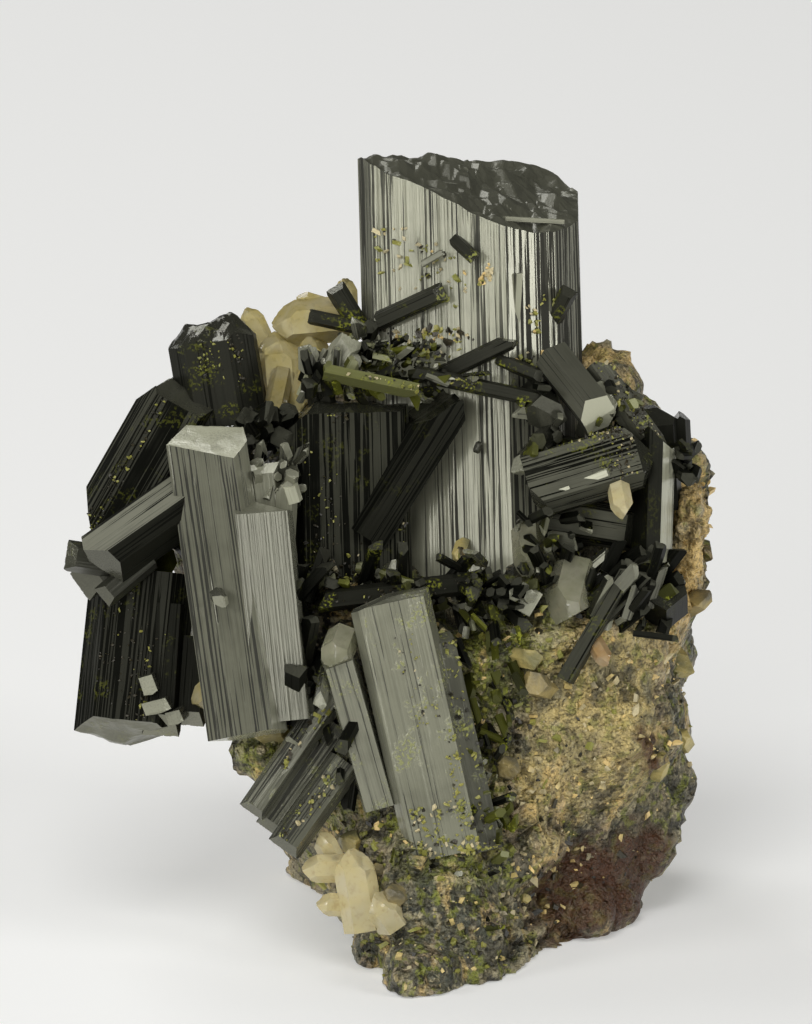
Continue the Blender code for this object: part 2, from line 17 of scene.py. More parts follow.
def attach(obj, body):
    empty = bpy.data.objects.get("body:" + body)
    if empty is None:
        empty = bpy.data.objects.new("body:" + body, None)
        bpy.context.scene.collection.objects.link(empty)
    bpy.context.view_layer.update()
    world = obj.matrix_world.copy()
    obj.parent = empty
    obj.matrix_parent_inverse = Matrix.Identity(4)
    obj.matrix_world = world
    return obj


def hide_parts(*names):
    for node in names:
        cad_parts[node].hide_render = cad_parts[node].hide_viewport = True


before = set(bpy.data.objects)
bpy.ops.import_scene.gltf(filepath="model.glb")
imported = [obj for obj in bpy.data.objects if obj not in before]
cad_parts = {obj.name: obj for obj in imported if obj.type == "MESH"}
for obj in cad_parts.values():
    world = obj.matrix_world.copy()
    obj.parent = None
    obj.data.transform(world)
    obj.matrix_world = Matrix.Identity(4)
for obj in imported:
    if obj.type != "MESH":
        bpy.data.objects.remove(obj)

bl_info = {
    "name": "Epidote on Quartz",
    "version": (1, 0, 0),
    "blender": (4, 5, 0),
    "location": "View3D > Sidebar > Specimen",
    "description": "Builds a hand specimen of epidote prisms and quartz crystals on quartz rock",
    "category": "Object",
}

MM = 0.001
# How far the crystals lean back, and the middle and the front edge of the broken face, in mm
LEAN = math.radians(16)
REST_X = 8.0
REST_Y = 13.0
FRONT_EDGE_Y = -14.5
# Depth in mm of the hollow in the rock behind the tower's low face
HOLLOW = 7.0
# The middle of the specimen's height in metres
MIDDLE_HEIGHT = 0.045
# Seeds of the random numbers: of the rock's grains, and of the crystals of each kind
GRAIN_SEED = 7
SMALL_SEED = 3000
QUARTZ_SEED = 5000
FUSED_SEED = 9000
# Number of grains that are fused to the rock
GRAIN_COUNT = 52
# The way that most crystals face: the display side
FRONT = (0.0, -1.0, 0.0)


def ground_z(y):
    """Height, in the leaning frame, of the level broken face at depth y."""
    return (y - FRONT_EDGE_Y) * math.tan(LEAN)


def flat_six(width, depth):
    """Corners of a flattened six-sided section, front left first."""
    w, d = width / 2, depth / 2
    return [(-w, 0.1 * d), (-0.6 * w, -d), (0.6 * w, -d), (w, -0.1 * d), (0.55 * w, d),
            (-0.65 * w, d)]


def board(width, depth):
    """Corners of a thin four-sided section with one narrow extra face."""
    w, d = width / 2, depth / 2
    return [(-w, -0.2 * d), (-0.7 * w, -d), (w, -0.8 * d), (0.9 * w, d), (-0.9 * w, 0.9 * d)]


def hexagon(width):
    """Corners of a six-sided section, width measured across its corners."""
    return [(width / 2 * math.cos(a), width / 2 * math.sin(a))
            for a in np.radians(range(0, 360, 60))]


def point(width, uneven=0.25):
    """End faces of a quartz crystal: six slopes, some of them larger than the others."""
    return [(30 + 60 * n, 51, uneven * width * (n % 3) / 2) for n in range(6)]


def chisel(azimuth=-90.0, tilt=38.0, ridge=0.0):
    """End faces of an epidote prism: two slopes that meet in a slanting edge."""
    return [(azimuth, tilt, ridge), (azimuth + 180, tilt + 14, ridge + 0.6)]


# A crystal: its foot and tip, the corners of its section, its end planes and the way it faces.
# An end plane is its azimuth and tilt in degrees, and how far it is set back in mm; a tilt past
# 90 degrees makes it one of the foot's.
Prism = namedtuple("Prism", "foot tip corners ends front", defaults=(chisel(), FRONT))
# How a crystal looks: how much painted silver sheen, standing for reflected light, each side
# has, and its end; green dust; contrast of its lines; how dull it is; depth of its grooves and
# height of the small pyramids on its end in mm; how dull its end is
Finish = namedtuple("Finish", "sides end dust contrast dull groove rough end_dull",
                    defaults=(0.1, 0.5, 0.0, 0.1, 0.0, 0.0))


def quartz(foot, tip, width, uneven=0.25, front=FRONT):
    """A six-sided quartz crystal with a pointed end."""
    return Prism(foot, tip, hexagon(width), point(width, uneven), front)


# The epidote groups: the finish of each crystal, where the last one serves for all that follow,
# and the crystals
EPIDOTE = {
    "tower": ([
        Finish((0.26, 0.67, 0.52, 0.4, 0.1, 0.1, 0.25, 0.1, 0.25), 0.19, 0.0,
               (2.0, 0.88, 1.9, 2.4, 1, 1, 1, 1, 1.5), 0, 0.05, 1.3, 0.3),
        Finish(0.06, 0.08, 0.5, 0.8, 0.8, 0.04)], [
        Prism((8.9, 7, 46.6), (7.4, 10, 101.4),
              [(-13.3, 1.5), (-11.8, -0.6), (4.2, -5.0), (10.2, -1.6), (13.2, 3.5), (13.4, 12.5),
               (10.5, 15.5), (-9.0, 13.0), (-13.2, 8.0)],
              [(-53.6, 33.2, 6.1), (0, 2, 0.3), (180, 30, -6.8)]),
        Prism((-3.2, 6.8, 80.2), (5.0, 4.4, 83.9), flat_six(2.4, 3.4)),
        Prism((4.4, 5.4, 73.8), (13.3, 3.0, 78.0), flat_six(2.1, 3.2), chisel(0, 40)),
        Prism((11.3, 4.5, 75.4), (16.7, 1.8, 73.2), flat_six(1.8, 2.4)),
        Prism((17.4, 9, 79.6), (20.0, 6, 84.4), flat_six(2.2, 2.6)),
        Prism((6.0, 6.0, 89.8), (8.6, 2.6, 87.3), flat_six(1.7, 1.8)),
        Prism((-5.0, 9.4, 78.4), (-8.8, 8.8, 84.6), flat_six(2.6, 2.4)),
        Prism((-4.6, 8.4, 79.2), (-12.0, 8.2, 80.8), flat_six(1.9, 2.2))]),
    "left_blade": ([
        Finish((0.34, 0.46, 0.42, 0.1, 0.1), 1.0, 0.0, (1.3, 1.0, 0.3, 1, 1), 0, 0.06, 0.1),
        Finish((0.2, 0.52, 0.1, 0.1, 0.2), 0.4, 0.0, 0.4, 0, 0.02, 0.1),
        Finish(0.5, 0.8, 0.1, 0.4, 0, 0.04)], [
        Prism((-19, -8, 30.4), (-24.4, -4, 68.2),
              [(-4.7, 0), (3.2, -4.5), (5, -1.5), (4.5, 3.5), (-1.8, 3.6)],
              [(-90, 36, 2.4), (180, 42, -1.9), (0, 12, 0.4)]),
        Prism((-14.6, -8, 32.2), (-17.3, -8, 58.6),
              [(-3.2, -2.6), (3.0, -3.0), (3.6, 1.5), (0, 4), (-3.2, 3)],
              [(-90, 22, 0.4), (0, 20, 0.4)]),
        Prism((-16.2, -3.4, 54.0), (-17.2, -4.4, 63.2), flat_six(4.2, 4.4), chisel(-90, 30)),
        Prism((-14.8, -3.4, 54.0), (-14.4, -5.4, 61.6), flat_six(3.2, 3.4), chisel(0, 34))]),
    "front_slab": ([
        Finish((0.46, 0.52, 0.3, 0.1, 0.1, 0.3), 0.3, (0.1, 0.35, 0.4, 0, 0, 0), 0.8, 0, 0.03,
               0.15),
        Finish(0.16, 0.2, 0.3, 0.5, 0.3, 0.03),
        Finish((0.3, 0.42, 0.42, 0.1, 0.1), 0.3, 0.2, 0.8, 0.1, 0.03)], [
        Prism((4.6, -9.0, 16.2), (-2.3, -12.0, 47.0),
              [(-4.6, 0.5), (-3.7, -1.2), (4.3, -1.3), (5.1, 0.6), (4.4, 3.8), (-4.2, 3.8)],
              [(-90, 26, 0), (180, 12, 0)]),
        Prism((8.6, -7.8, 16.6), (2.6, -9.6, 42.6), board(5.4, 4.4), chisel(-90, 34),
              front=(0.2, -1, 0)),
        Prism((-3.1, -7.8, 22.0), (-8.3, -10.6, 40.4), board(4.0, 4.2), chisel(-90, 34),
              front=(-0.2, -1, 0))]),
    "leaning": ([
        Finish(0.24, 0.2, 0.15, 1.4, 0, 0.06)], [
        Prism((-8.8, -7.4, 35.2), (-18.6, -8.4, 21.0), flat_six(3.6, 3.8), chisel(-90, 30),
              front=(-0.1, -1, 0)),
        Prism((-7.2, -7.6, 27.2), (-14.8, -8.8, 16.6), flat_six(4.4, 4.2), chisel(-90, 30),
              front=(-0.1, -1, 0)),
        Prism((-8.0, -5.6, 31.4), (-16.8, -6.8, 19.0), flat_six(3.2, 3.6), chisel(-90, 36),
              front=(-0.1, -1, 0))]),
    "arm": ([
        Finish((0.02, 0.38, 0.1, 0.02, 0.02, 0.02), 0.1, 0.0, 0.9, 0.7, 0.03),
        Finish(0.05, 0.12, 0.05, 0.5, 0.3, 0.02)], [
        Prism((-24.8, -1.6, 59.4), (-37.6, -5.2, 50.4),
              [(-3.2, -0.8), (-2.4, -2.8), (2.6, -2.8), (3.6, 0.2), (1.6, 3.2), (-2.4, 2.8)],
              [(0, 25, 0), (180, 35, 0.4), (90, 30, 0.6)], front=(-0.3, -0.62, 0.72)),
        Prism((-33.2, -2.4, 50.8), (-41.0, -4.4, 52.0), flat_six(3.8, 3.2), chisel(-90, 40)),
        Prism((-30.7, -2.6, 51.6), (-36.6, -4.0, 46.6), flat_six(3.0, 3.0), chisel(-90, 40)),
        Prism((-31.0, -1.0, 54.0), (-39.4, -1.6, 48.0), flat_six(4.2, 3.4), chisel(90, 40))]),
    "brown_blade": ([
        Finish(0.2, 0.2, 1.35, 0.8, 0.9, 0.03)], [
        Prism((-9.9, -2.4, 74.0), (1.4, -2.0, 71.6), board(1.2, 3.0),
              [(90, 40, 0), (180, 150, 0.4)], front=(0, -1, 0.4)),
        Prism((-9.0, -1.4, 74.6), (-9.6, 2.4, 71.6), flat_six(1.8, 1.6))]),
    "cross_bar": ([
        Finish(0.05, 0.1, 0.4, 0.6, 0.8, 0.06)], [
        Prism((0.6, 1.6, 73.9), (16.7, 0.2, 70.5), flat_six(2.0, 2.8),
              [(-90, 30, 0), (180, 160, 0.5)])]),
    "ledge_bar": ([
        Finish(0.03, 0.03, 0.45, 0.4, 0.7, 0.05)], [
        Prism((-10.6, -6.6, 46.4), (9.4, -4.6, 48.8), flat_six(2.8, 4.2),
              [(180, 150, 0.4), (0, 30, 0), (-90, 25, 0.4)])]),
    "dark_block": ([
        Finish(0.09, 0.05, 0.08, 2.2, 0.9, 0.03, 0.5),
        Finish(0.05, 0.4, 0.2, 0.5, 0.9, 0.03)], [
        Prism((-6.0, 5.5, 46), (-6.6, 5, 70.4),
              [(-8.2, -3.4), (-6.6, -5.6), (5.6, -5.4), (6.5, -4), (6.4, 5), (-7, 5.5)],
              [(0, 3, 0), (180, 42, -4.2), (-90, 35, -2.6)], front=(0.1, -1, 0)),
        Prism((-9.8, 3.4, 68.6), (-10.8, 2.6, 74.2), flat_six(3.4, 3.0), chisel(180, 40)),
        Prism((-8.6, 2.4, 33.6), (-12.2, 3.6, 57.0), flat_six(6.4, 6.0))]),
    "wedge": ([
        Finish(0.03, 0.02, 0.03, 2.4, 0.9, 0.03, 0.5)], [
        Prism((-5.2, 2.4, 54.3), (5.8, 2.4, 71.8), flat_six(6.4, 7.0), chisel(0, 50),
              front=(0.35, -1, -0.2))]),
    "lower_left": ([
        Finish(0.04, 0.26, 0.12, 1.9, 0.9, 0.03, 0.5, 0.3),
        Finish(0.015, 0.4, 0.12, 1.0, 0.9, 0.02)], [
        Prism((-31.4, 2.6, 50.0), (-33.6, 1.6, 28.9),
              [(-6.6, -0.6), (-4.4, -4.2), (3.4, -4.4), (6.4, -1.2), (5.0, 4.4), (-5.2, 4.8)],
              [(-90, 30, 0.6), (0, 12, 0), (180, 24, 0.4)], front=(-0.2, -1, 0.15)),
        Prism((-28.4, 0.6, 46.0), (-29.4, -0.4, 30.0), flat_six(4.6, 6.0), chisel(-90, 42)),
        Prism((-25.4, 2.0, 42.0), (-26.2, 1.0, 31.2), flat_six(4.2, 6.0), chisel(-90, 30))]),
    "right_prism": ([
        Finish((0.14, 0.2, 0.14, 0.1, 0.1, 0.1), 0.06, 0.2, 1.6, 0.7, 0.04)], [
        Prism((14.8, -1.4, 59.8), (29.8, -1.6, 64.2),
              [(-4.2, -0.6), (-3.2, -3.2), (2.8, -3.4), (3.9, -1.0), (3.0, 3.6), (-3.2, 3.4)],
              [(180, 38, 0.2), (0, 38, -0.5), (-90, 30, 0), (0, 150, -0.4)], front=(0, -1, 0.3)),
        Prism((16.4, 2.6, 56.8), (28.6, 1.8, 54.8), flat_six(5.4, 5.4))]),
    "striped_prism": ([
        Finish((0.1, 0.16, 0.16, 0.12, 0.1, 0.1), 1.2, 0.0, 0.9, 0.3, 0.03),
        Finish(0.05, 0.1, 0.1, 0.3, 0.6, 0.02)], [
        Prism((17.6, 3.4, 75.6), (23.2, -2.2, 68.4), flat_six(4.8, 4.6), [(-75, 30, 0)],
              front=(0.35, -1, 0.35)),
        Prism((15.4, 5.0, 70.8), (16.8, -1.0, 68.6), flat_six(4.6, 4.4),
              [(-90, 12, 0), (0, 30, 0.3)], front=(-0.3, -1, 0.2))]),
    "rough_blade": ([
        Finish(0.18, 0.5, 0.5, 0.6, 0.3, 0.06, 0.3)], [
        Prism((22.4, 2.6, 74.6), (30.2, 1.0, 64.0), flat_six(3.6, 5.0),
              [(180, 140, 0.3), (-90, 25, 0)], front=(0.2, -1, 0.4)),
        Prism((22.6, 4.4, 67.0), (23.6, -1.6, 71.0), flat_six(4.4, 4.0),
              [(-90, 14, 0), (0, 24, 0.2)], front=(-0.2, -1, 0.2))]),
    "right_blade": ([
        Finish((0.01, 0.02, 1.0, 0.2, 0.1, 0.1), 0.1, 0.05, 0.9, (0.9, 0.9, 0.0, 0.6, 0.6, 0.6),
               0.03)], [
        Prism((29.2, 0.2, 50.6), (29.7, 0.4, 67.6),
              [(-2.4, 0), (-0.2, -2.8), (1.5, -3.1), (2.6, 1), (1, 4), (-1.5, 3.5)],
              chisel(180, 30), front=(-0.1, -1, 0))]),
    "right_needles": ([
        Finish(0.10, 0.2, 0.1, 1.0, 0.6, 0.04)], [
        Prism((19.0, -3.0, 37.0), (27.4, -3.6, 51.4), board(2.0, 3.2), chisel(-90, 50),
              front=(-0.2, -1, 0.1)),
        Prism((22.0, -1.8, 42.6), (29.6, -2.6, 50.6), board(2.0, 3.0), chisel(-90, 50),
              front=(-0.2, -1, 0.1))]),
    "right_chunk": ([
        Finish(0.01, 0.05, 0.05, 0.3, 0.6, 0.01)], [
        Prism((31.0, 4.0, 45.6), (30.8, -2.0, 48.4), flat_six(5.6, 5.0), chisel(-90, 20),
              front=(0.1, -1, 0.3)),
        Prism((30.4, 1.0, 47.6), (33.4, -2.0, 49.6), flat_six(2.0, 2.0))]),
    "right_back": ([
        Finish(0.02, 0.05, 0.05, 0.4, 0.7, 0.02)], [
        Prism((30.6, 7.0, 57.6), (29.8, 5.0, 69.6), flat_six(5.6, 5.4),
              [(0, 34, -0.4), (-90, 30, 0.2)], front=(0.2, -1, 0)),
        Prism((33.0, 8.0, 62.0), (32.6, 6.6, 69.2), flat_six(3.2, 3.4), chisel(0, 34))]),
    "knob": ([
        Finish(0.03, 0.06, 0.2, 0.7, 0.9, 0.02, 0.9)], [
        Prism((-21.6, 6, 67.4), (-23.8, 6, 80.6),
              [(-5.4, -1.4), (-3.4, -4.0), (1.8, -4.6), (5.0, -2.2), (5.3, 1.6), (2.6, 4.4),
               (-2.8, 4.4), (-5.3, 1.8)],
              [(0, 4, 0.2), (0, 50, -3.4), (180, 48, -3.2), (-90, 46, -1.6), (90, 42, -1.4),
               (-135, 56, -4.4), (-45, 56, -4.6), (135, 54, -4.4), (45, 54, -4.4)])]),
    "left_back": ([
        Finish((0.12, 0.07, 0.04, 0, 0, 0), 0.1, 0.1, 1.9, 0.9, 0.03, 0.5)], [
        Prism((-37.4, 5, 52.6), (-26.2, 4, 72.2),
              [(-4.6, -1.2), (-2.4, -4.4), (3.6, -4.2), (4.9, 0.4), (2.6, 4.5), (-3.4, 4)],
              [(180, 62, -4.3), (-90, 34, -0.6), (180, 130, 0.6)], front=(-0.1, -1, 0))]),
}
# Small crystals that fill the gaps between the large ones: middle and half sizes of the space,
# their number, narrowest and widest, the way that most of them point, the share of them with a
# painted silver sheen that stands for reflected light, and their dust
JUMBLES = [
    ((-9.6, 1.2, 72.6), (3.0, 2.4, 2.0), 34, 0.8, 2.2, (0.2, -0.7, 1.0), 0.55, 0.3),
    ((-6.0, 4.6, 76.6), (2.2, 2.0, 2.2), 14, 0.9, 2.2, (0.1, -0.8, 0.6), 0.5, 0.4),
    ((-1.0, 2.2, 75.2), (4.6, 1.8, 2.4), 120, 0.35, 0.9, (0.6, -0.8, 0.3), 0.5, 0.9),
    ((0.6, 1.6, 72.4), (7.6, 1.6, 1.3), 40, 0.5, 1.3, (0.9, -0.5, -0.2), 0.3, 0.8),
    ((-15.6, -3.4, 60.6), (2.8, 2.4, 3.0), 22, 0.8, 2.0, (0.3, -0.8, 0.6), 0.9, 0.0),
    ((-21.0, 5.0, 60.0), (3.6, 2.6, 6.4), 8, 2.6, 4.6, (-0.3, -0.3, 1.0), 0.05, 0.1),
    ((-27.0, 3.6, 52.0), (4.4, 2.6, 5.0), 8, 2.6, 4.6, (-0.5, -0.3, 0.6), 0.05, 0.2),
    ((-4.0, -3.4, 48.5), (7.6, 2.0, 2.2), 26, 0.8, 2.0, (0.2, -0.8, 0.3), 0.2, 0.5),
    ((15.4, 2.0, 68.0), (2.6, 2.4, 5.0), 18, 1.0, 2.4, (0.2, -0.9, 0.2), 0.15, 0.2),
    ((11.0, -4.0, 48.6), (6.0, 2.0, 2.6), 26, 0.8, 1.9, (0.1, -0.9, 0.3), 0.3, 0.6),
    ((17.5, -1.0, 54.0), (4.6, 2.0, 3.4), 20, 0.8, 1.9, (0.2, -0.9, 0.2), 0.3, 0.3),
    ((25.6, -1.6, 46.6), (5.4, 2.0, 4.6), 40, 0.7, 2.0, (0.6, -0.5, 0.9), 0.2, 0.2),
    ((-8.6, -8.0, 33.0), (3.0, 2.2, 8.0), 18, 0.9, 2.2, (-0.5, -0.5, -0.8), 0.2, 0.3),
    ((-12.4, -4.6, 40.0), (2.6, 2.6, 8.0), 14, 1.6, 3.2, (0.1, -0.5, 0.9), 0.03, 0.1),
    ((4.6, -9.2, 11.0), (6.4, 1.8, 4.6), 60, 0.4, 0.9, (0.6, -0.35, 0.5), 0.45, 0.9),
    ((9.6, -7.6, 22.0), (3.4, 1.6, 7.0), 40, 0.5, 1.3, (0.3, -0.4, 0.5), 0.35, 0.9),
    ((33.0, 3.0, 62.6), (1.4, 2.4, 2.4), 14, 1.4, 2.4, (0.1, -1.0, 0.2), 0.1, 0.1),
    ((24.8, 2.2, 70.0), (2.4, 2.4, 2.6), 30, 0.6, 1.5, (0.2, -0.8, -0.3), 0.4, 0.7),
    ((9.6, -6.0, 38.0), (3.6, 1.4, 8.0), 46, 0.5, 1.3, (0.35, -0.3, -1.2), 0.15, 1.3),
    ((-17.0, 3.0, 66.4), (3.4, 1.6, 2.0), 12, 1.8, 3.2, (0.1, -0.8, 0.6), 0.1, 0.05),
    ((6.0, -3.6, 47.0), (9.0, 1.2, 1.8), 30, 0.8, 2.0, (0.5, -0.7, -0.2), 0.1, 0.3),
    ((-20.2, 2.6, 66.0), (2.4, 1.4, 1.4), 14, 1.8, 3.0, (0.2, -0.6, 0.5), 0.15, 0.05),
]
# Small crystals with a place of their own: how much painted silver sheen, standing for
# reflected light, their sides and end have, and the crystal
SINGLES = [
    (1.0, 0.5, Prism((20.6, -4.4, 60.5), (24.6, -5.0, 62.0), flat_six(1.3, 1.2))),
    (0.9, 0.5, Prism((17.6, -4.6, 59.4), (20.0, -5.0, 60.2), flat_six(0.7, 1.0))),
    (0.9, 0.6, Prism((13.6, -4.6, 45.4), (15.4, -5.4, 48.4), board(2.8, 1.2))),
    (0.8, 0.3, Prism((13.2, 5.2, 78.0), (13.7, 4.6, 86.2), board(0.8, 1.0))),
    (0.35, 0.3, Prism((2.0, 5.4, 87.0), (4.8, 4.4, 88.6), flat_six(0.9, 1.2))),
    (0.6, 0.9, Prism((-9.4, 1.4, 73.6), (-6.4, 0.4, 78.4), flat_six(3.4, 3.0), chisel(-60, 44))),
    (0.9, 1.0, Prism((-13.4, -5.4, 58.4), (-14.2, -6.2, 61.0), flat_six(2.2, 2.0))),
    (0.03, 0.3, Prism((17.6, 1.2, 66.4), (15.4, -1.6, 64.6), flat_six(3.2, 3.0), chisel(-90, 12))),
    (0.05, 0.1, Prism((8.4, 3.0, 65.0), (9.4, 2.6, 64.6), flat_six(1.5, 1.2))),
    (0.7, 0.3, Prism((11.8, 6.2, 92.5), (19.2, 11.2, 92.2), board(0.6, 0.8))),
    (0.55, 0.3, Prism((-28.8, -4.4, 56.6), (-34.2, -5.8, 52.2), flat_six(3.0, 3.4), chisel(-90, 50),
                      front=(-0.3, -0.62, 0.72))),
    (0.1, 0.5, Prism((-22.6, -9.4, 47.4), (-21.8, -12.0, 46.2), flat_six(1.7, 1.6),
                     front=(1, 0.2, 0.3))),
    (0.15, 0.62, Prism((-30.4, -1.0, 36.8), (-30.9, -5.2, 36.3), board(2.4, 2.0), chisel(-90, 9),
                       front=(1, 0.2, 0.3))),
    (0.15, 0.55, Prism((-29.4, -1.0, 34.2), (-30.0, -5.0, 33.7), board(1.7, 3.6), chisel(-90, 9),
                       front=(1, 0.2, 0.3))),
    (0.2, 0.45, Prism((-27.2, -1.0, 33.0), (-27.8, -5.0, 32.4), board(1.7, 2.2), chisel(-90, 12),
                      front=(1, 0.2, 0.3))),
]
# Grains on crystal faces: group, crystal and side, the range along the side and along the
# crystal, number, smallest and largest, and the share of green, dark, pale and ochre ones
FLECKS = [
    ("tower", 0, 1, (0.02, 0.70), (0.64, 0.82), 70, 0.3, 0.8, (0.5, 0.1, 0.35, 0.05)),
    ("tower", 0, 1, (0.79, 0.88), (0.69, 0.73), 22, 0.4, 0.9, (0.1, 0.1, 0.4, 0.4)),
    ("tower", 0, 1, (0.00, 0.75), (0.52, 0.60), 150, 0.3, 0.9, (0.4, 0.4, 0.1, 0.1)),
    ("tower", 0, 2, (0.30, 0.60), (0.58, 0.66), 16, 0.3, 0.7, (0.3, 0.1, 0.2, 0.4)),
    ("tower", 0, 2, (0.70, 1.00), (0.64, 0.70), 12, 0.3, 0.7, (0.9, 0.1, 0.0, 0.0)),
    ("tower", 0, 2, (0.00, 1.00), (0.50, 0.56), 60, 0.3, 0.8, (0.4, 0.4, 0.1, 0.1)),
    ("dark_block", 0, 1, (0.00, 0.45), (0.30, 1.00), 60, 0.15, 0.5, (0.4, 0.6, 0.0, 0.0)),
    ("dark_block", 0, 1, (0.00, 1.00), (0.10, 0.40), 60, 0.2, 0.6, (0.2, 0.6, 0.2, 0.0)),
    ("brown_blade", 0, 1, (0.00, 1.00), (0.10, 1.00), 24, 0.2, 0.6, (0.4, 0.4, 0.2, 0.0)),
    ("knob", 0, 1, (0.10, 0.80), (0.55, 0.95), 40, 0.15, 0.4, (0.6, 0.4, 0.0, 0.0)),
    ("knob", 0, 2, (0.00, 1.00), (0.10, 0.80), 40, 0.15, 0.5, (0.2, 0.8, 0.0, 0.0)),
    ("left_back", 0, 1, (0.00, 0.25), (0.00, 1.00), 60, 0.15, 0.5, (0.4, 0.6, 0.0, 0.0)),
    ("left_back", 0, 1, (0.00, 1.00), (0.00, 0.40), 40, 0.15, 0.5, (0.3, 0.7, 0.0, 0.0)),
    ("lower_left", 0, 1, (0.00, 1.00), (0.00, 1.00), 70, 0.15, 0.45, (0.2, 0.8, 0.0, 0.0)),
    ("lower_left", 0, 1, (0.20, 1.00), (0.70, 1.00), 40, 0.15, 0.5, (0.3, 0.7, 0.0, 0.0)),
    ("front_slab", 0, 1, (0.10, 1.00), (0.00, 0.20), 150, 0.2, 0.7, (0.75, 0.1, 0.15, 0.0)),
    ("front_slab", 0, 1, (0.75, 1.00), (0.10, 0.60), 80, 0.15, 0.5, (0.9, 0.1, 0.0, 0.0)),
    ("front_slab", 0, 1, (0.45, 0.85), (0.50, 0.85), 40, 0.15, 0.4, (0.6, 0.2, 0.2, 0.0)),
    ("front_slab", 1, 1, (0.00, 1.00), (0.00, 1.00), 160, 0.2, 0.7, (0.7, 0.3, 0.0, 0.0)),
    ("leaning", 0, 1, (0.00, 1.00), (0.00, 0.60), 30, 0.3, 0.8, (0.5, 0.4, 0.1, 0.0)),
    ("leaning", 1, 1, (0.00, 1.00), (0.20, 1.00), 60, 0.2, 0.7, (0.5, 0.4, 0.1, 0.0)),
    ("right_prism", 0, 1, (0.00, 1.00), (0.45, 1.00), 150, 0.15, 0.5, (0.3, 0.6, 0.1, 0.0)),
    ("right_prism", 0, 0, (0.00, 1.00), (0.30, 1.00), 60, 0.15, 0.5, (0.3, 0.6, 0.1, 0.0)),
    ("rough_blade", 0, 1, (0.00, 1.00), (0.00, 1.00), 170, 0.15, 0.55, (0.3, 0.6, 0.1, 0.0)),
    ("ledge_bar", 0, 1, (0.00, 1.00), (0.00, 1.00), 50, 0.15, 0.5, (0.3, 0.7, 0.0, 0.0)),
    ("cross_bar", 0, 1, (0.00, 1.00), (0.00, 0.50), 36, 0.15, 0.4, (0.4, 0.6, 0.0, 0.0)),
    ("left_blade", 0, 1, (0.20, 0.80), (0.10, 0.20), 8, 0.3, 0.8, (0.2, 0.8, 0.0, 0.0)),
]
# The quartz groups: the kind of quartz, and the crystals
QUARTZ = {
    "back_left": ("honey", [
        quartz((-6.6, 11.6, 80.6), (-17.6, 11.0, 79.6), 5.6),
        quartz((-17.0, 12, 76.6), (-19.7, 11, 82.5), 3.2),
        quartz((-8.4, 12.4, 81.6), (-13.8, 12, 83.2), 2.2),
        quartz((-7.1, 12, 79.6), (-7.4, 12, 86.8), 2.8, 0.5),
        quartz((-14.8, 11.0, 67.4), (-15.8, 10.0, 80.6), 6.4),
        quartz((-10.8, 10.6, 70.6), (-11.4, 10.2, 79.8), 4.4),
        quartz((-14.9, 8.6, 74.0), (-16.2, 4.6, 67.6), 2.8)]),
    "bottom_left": ("cream", [
        quartz((-4.9, -8.5, 7.2), (-6.8, -9.4, 18.2), 5.0),
        quartz((-6.4, -7.6, 14.6), (-13.3, -8.4, 14.5), 3.4),
        quartz((-6.6, -7.6, 10.2), (-11.4, -8.2, 10.3), 2.8),
        quartz((-1.4, -9.8, 8.0), (-4.4, -12.2, 12.4), 4.4),
        quartz((-8.4, -5.4, 15.0), (-10.6, -7.6, 19.4), 2.8)]),
    "right_point": ("cream", [
        quartz((25.0, -3.4, 62.2), (26.3, -6.2, 55.2), 2.8, 0.5, front=(-0.2, -1, 0))]),
    "grey": ("clear", [
        quartz((20.4, -0.6, 50.6), (18.0, -5.8, 41.4), 6.0, 0.5, front=(0, -1, 0.2))]),
    "pair": ("clear", [
        quartz((14.6, 1.6, 55.0), (15.0, -2.6, 48.6), 4.0)]),
    "front": ("clear", [
        quartz((-7.4, -9.2, 42.4), (-9.0, -13.8, 38.2), 4.0, front=(0.1, -1, 0.3))]),
    "left": ("honey", [
        quartz((-23.6, 1.4, 36.4), (-24.8, -3.8, 34.0), 3.6, front=(0, -1, 0.3))]),
    "lower_front": ("honey", [
        quartz((-15.0, -1.0, 32.0), (-17.6, -6.4, 29.6), 4.4, front=(0, -1, 0.3))]),
    "shard": ("clear", [
        quartz((13.4, -1.4, 45.2), (14.6, -4.2, 48.8), 2.8, 0.6)]),
    "orange_point": ("amber", [
        quartz((22.2, -2.4, 42.2), (24.4, -5.0, 38.4), 2.2)]),
}
# How see-through each kind of quartz is, and the colour of the stain in its flaws
QUARTZ_KINDS = {"clear": (0.6, "77765a"), "cream": (0.5, "b8964f"), "honey": (0.5, "80702f"),
                "amber": (0.4, "9a6236")}


# The rock: at each height, its middle (x, y) and its radius every 30 degrees from +x towards +y
ROCK_LEVELS = {
    -8: ((4, 10), (20, 29, 31, 27, 27, 13.5, 9, 9.5, 15, 24, 14.5, 13.5)),
    4: ((4, 10), (21, 30, 32, 28, 28, 14.5, 10, 10.5, 16.5, 25, 16, 14.5)),
    15: ((5, 12), (21.5, 27.5, 32, 26, 30, 19, 15.5, 16, 18.5, 22, 18.5, 18)),
    28: ((6, 13.5), (28.5, 31, 28, 24.5, 27.5, 27.5, 25, 23, 20.5, 20, 20.5, 25)),
    42: ((4, 15), (30.5, 31, 26, 22, 25, 30, 30, 26, 21.5, 20.5, 21, 26.5)),
    56: ((3, 18.5), (33, 28.5, 20, 17, 20, 27, 31, 23, 16.5, 14.5, 16, 24.5)),
    67: ((4.5, 20), (30, 23, 16, 12.5, 15, 20, 24, 18, 12.5, 10.8, 11.8, 19)),
    75: ((6, 19.5), (14, 13, 11, 9, 10.5, 13, 15, 12, 9, 7.5, 8, 10)),
}
ROCK_TOP = 78.0
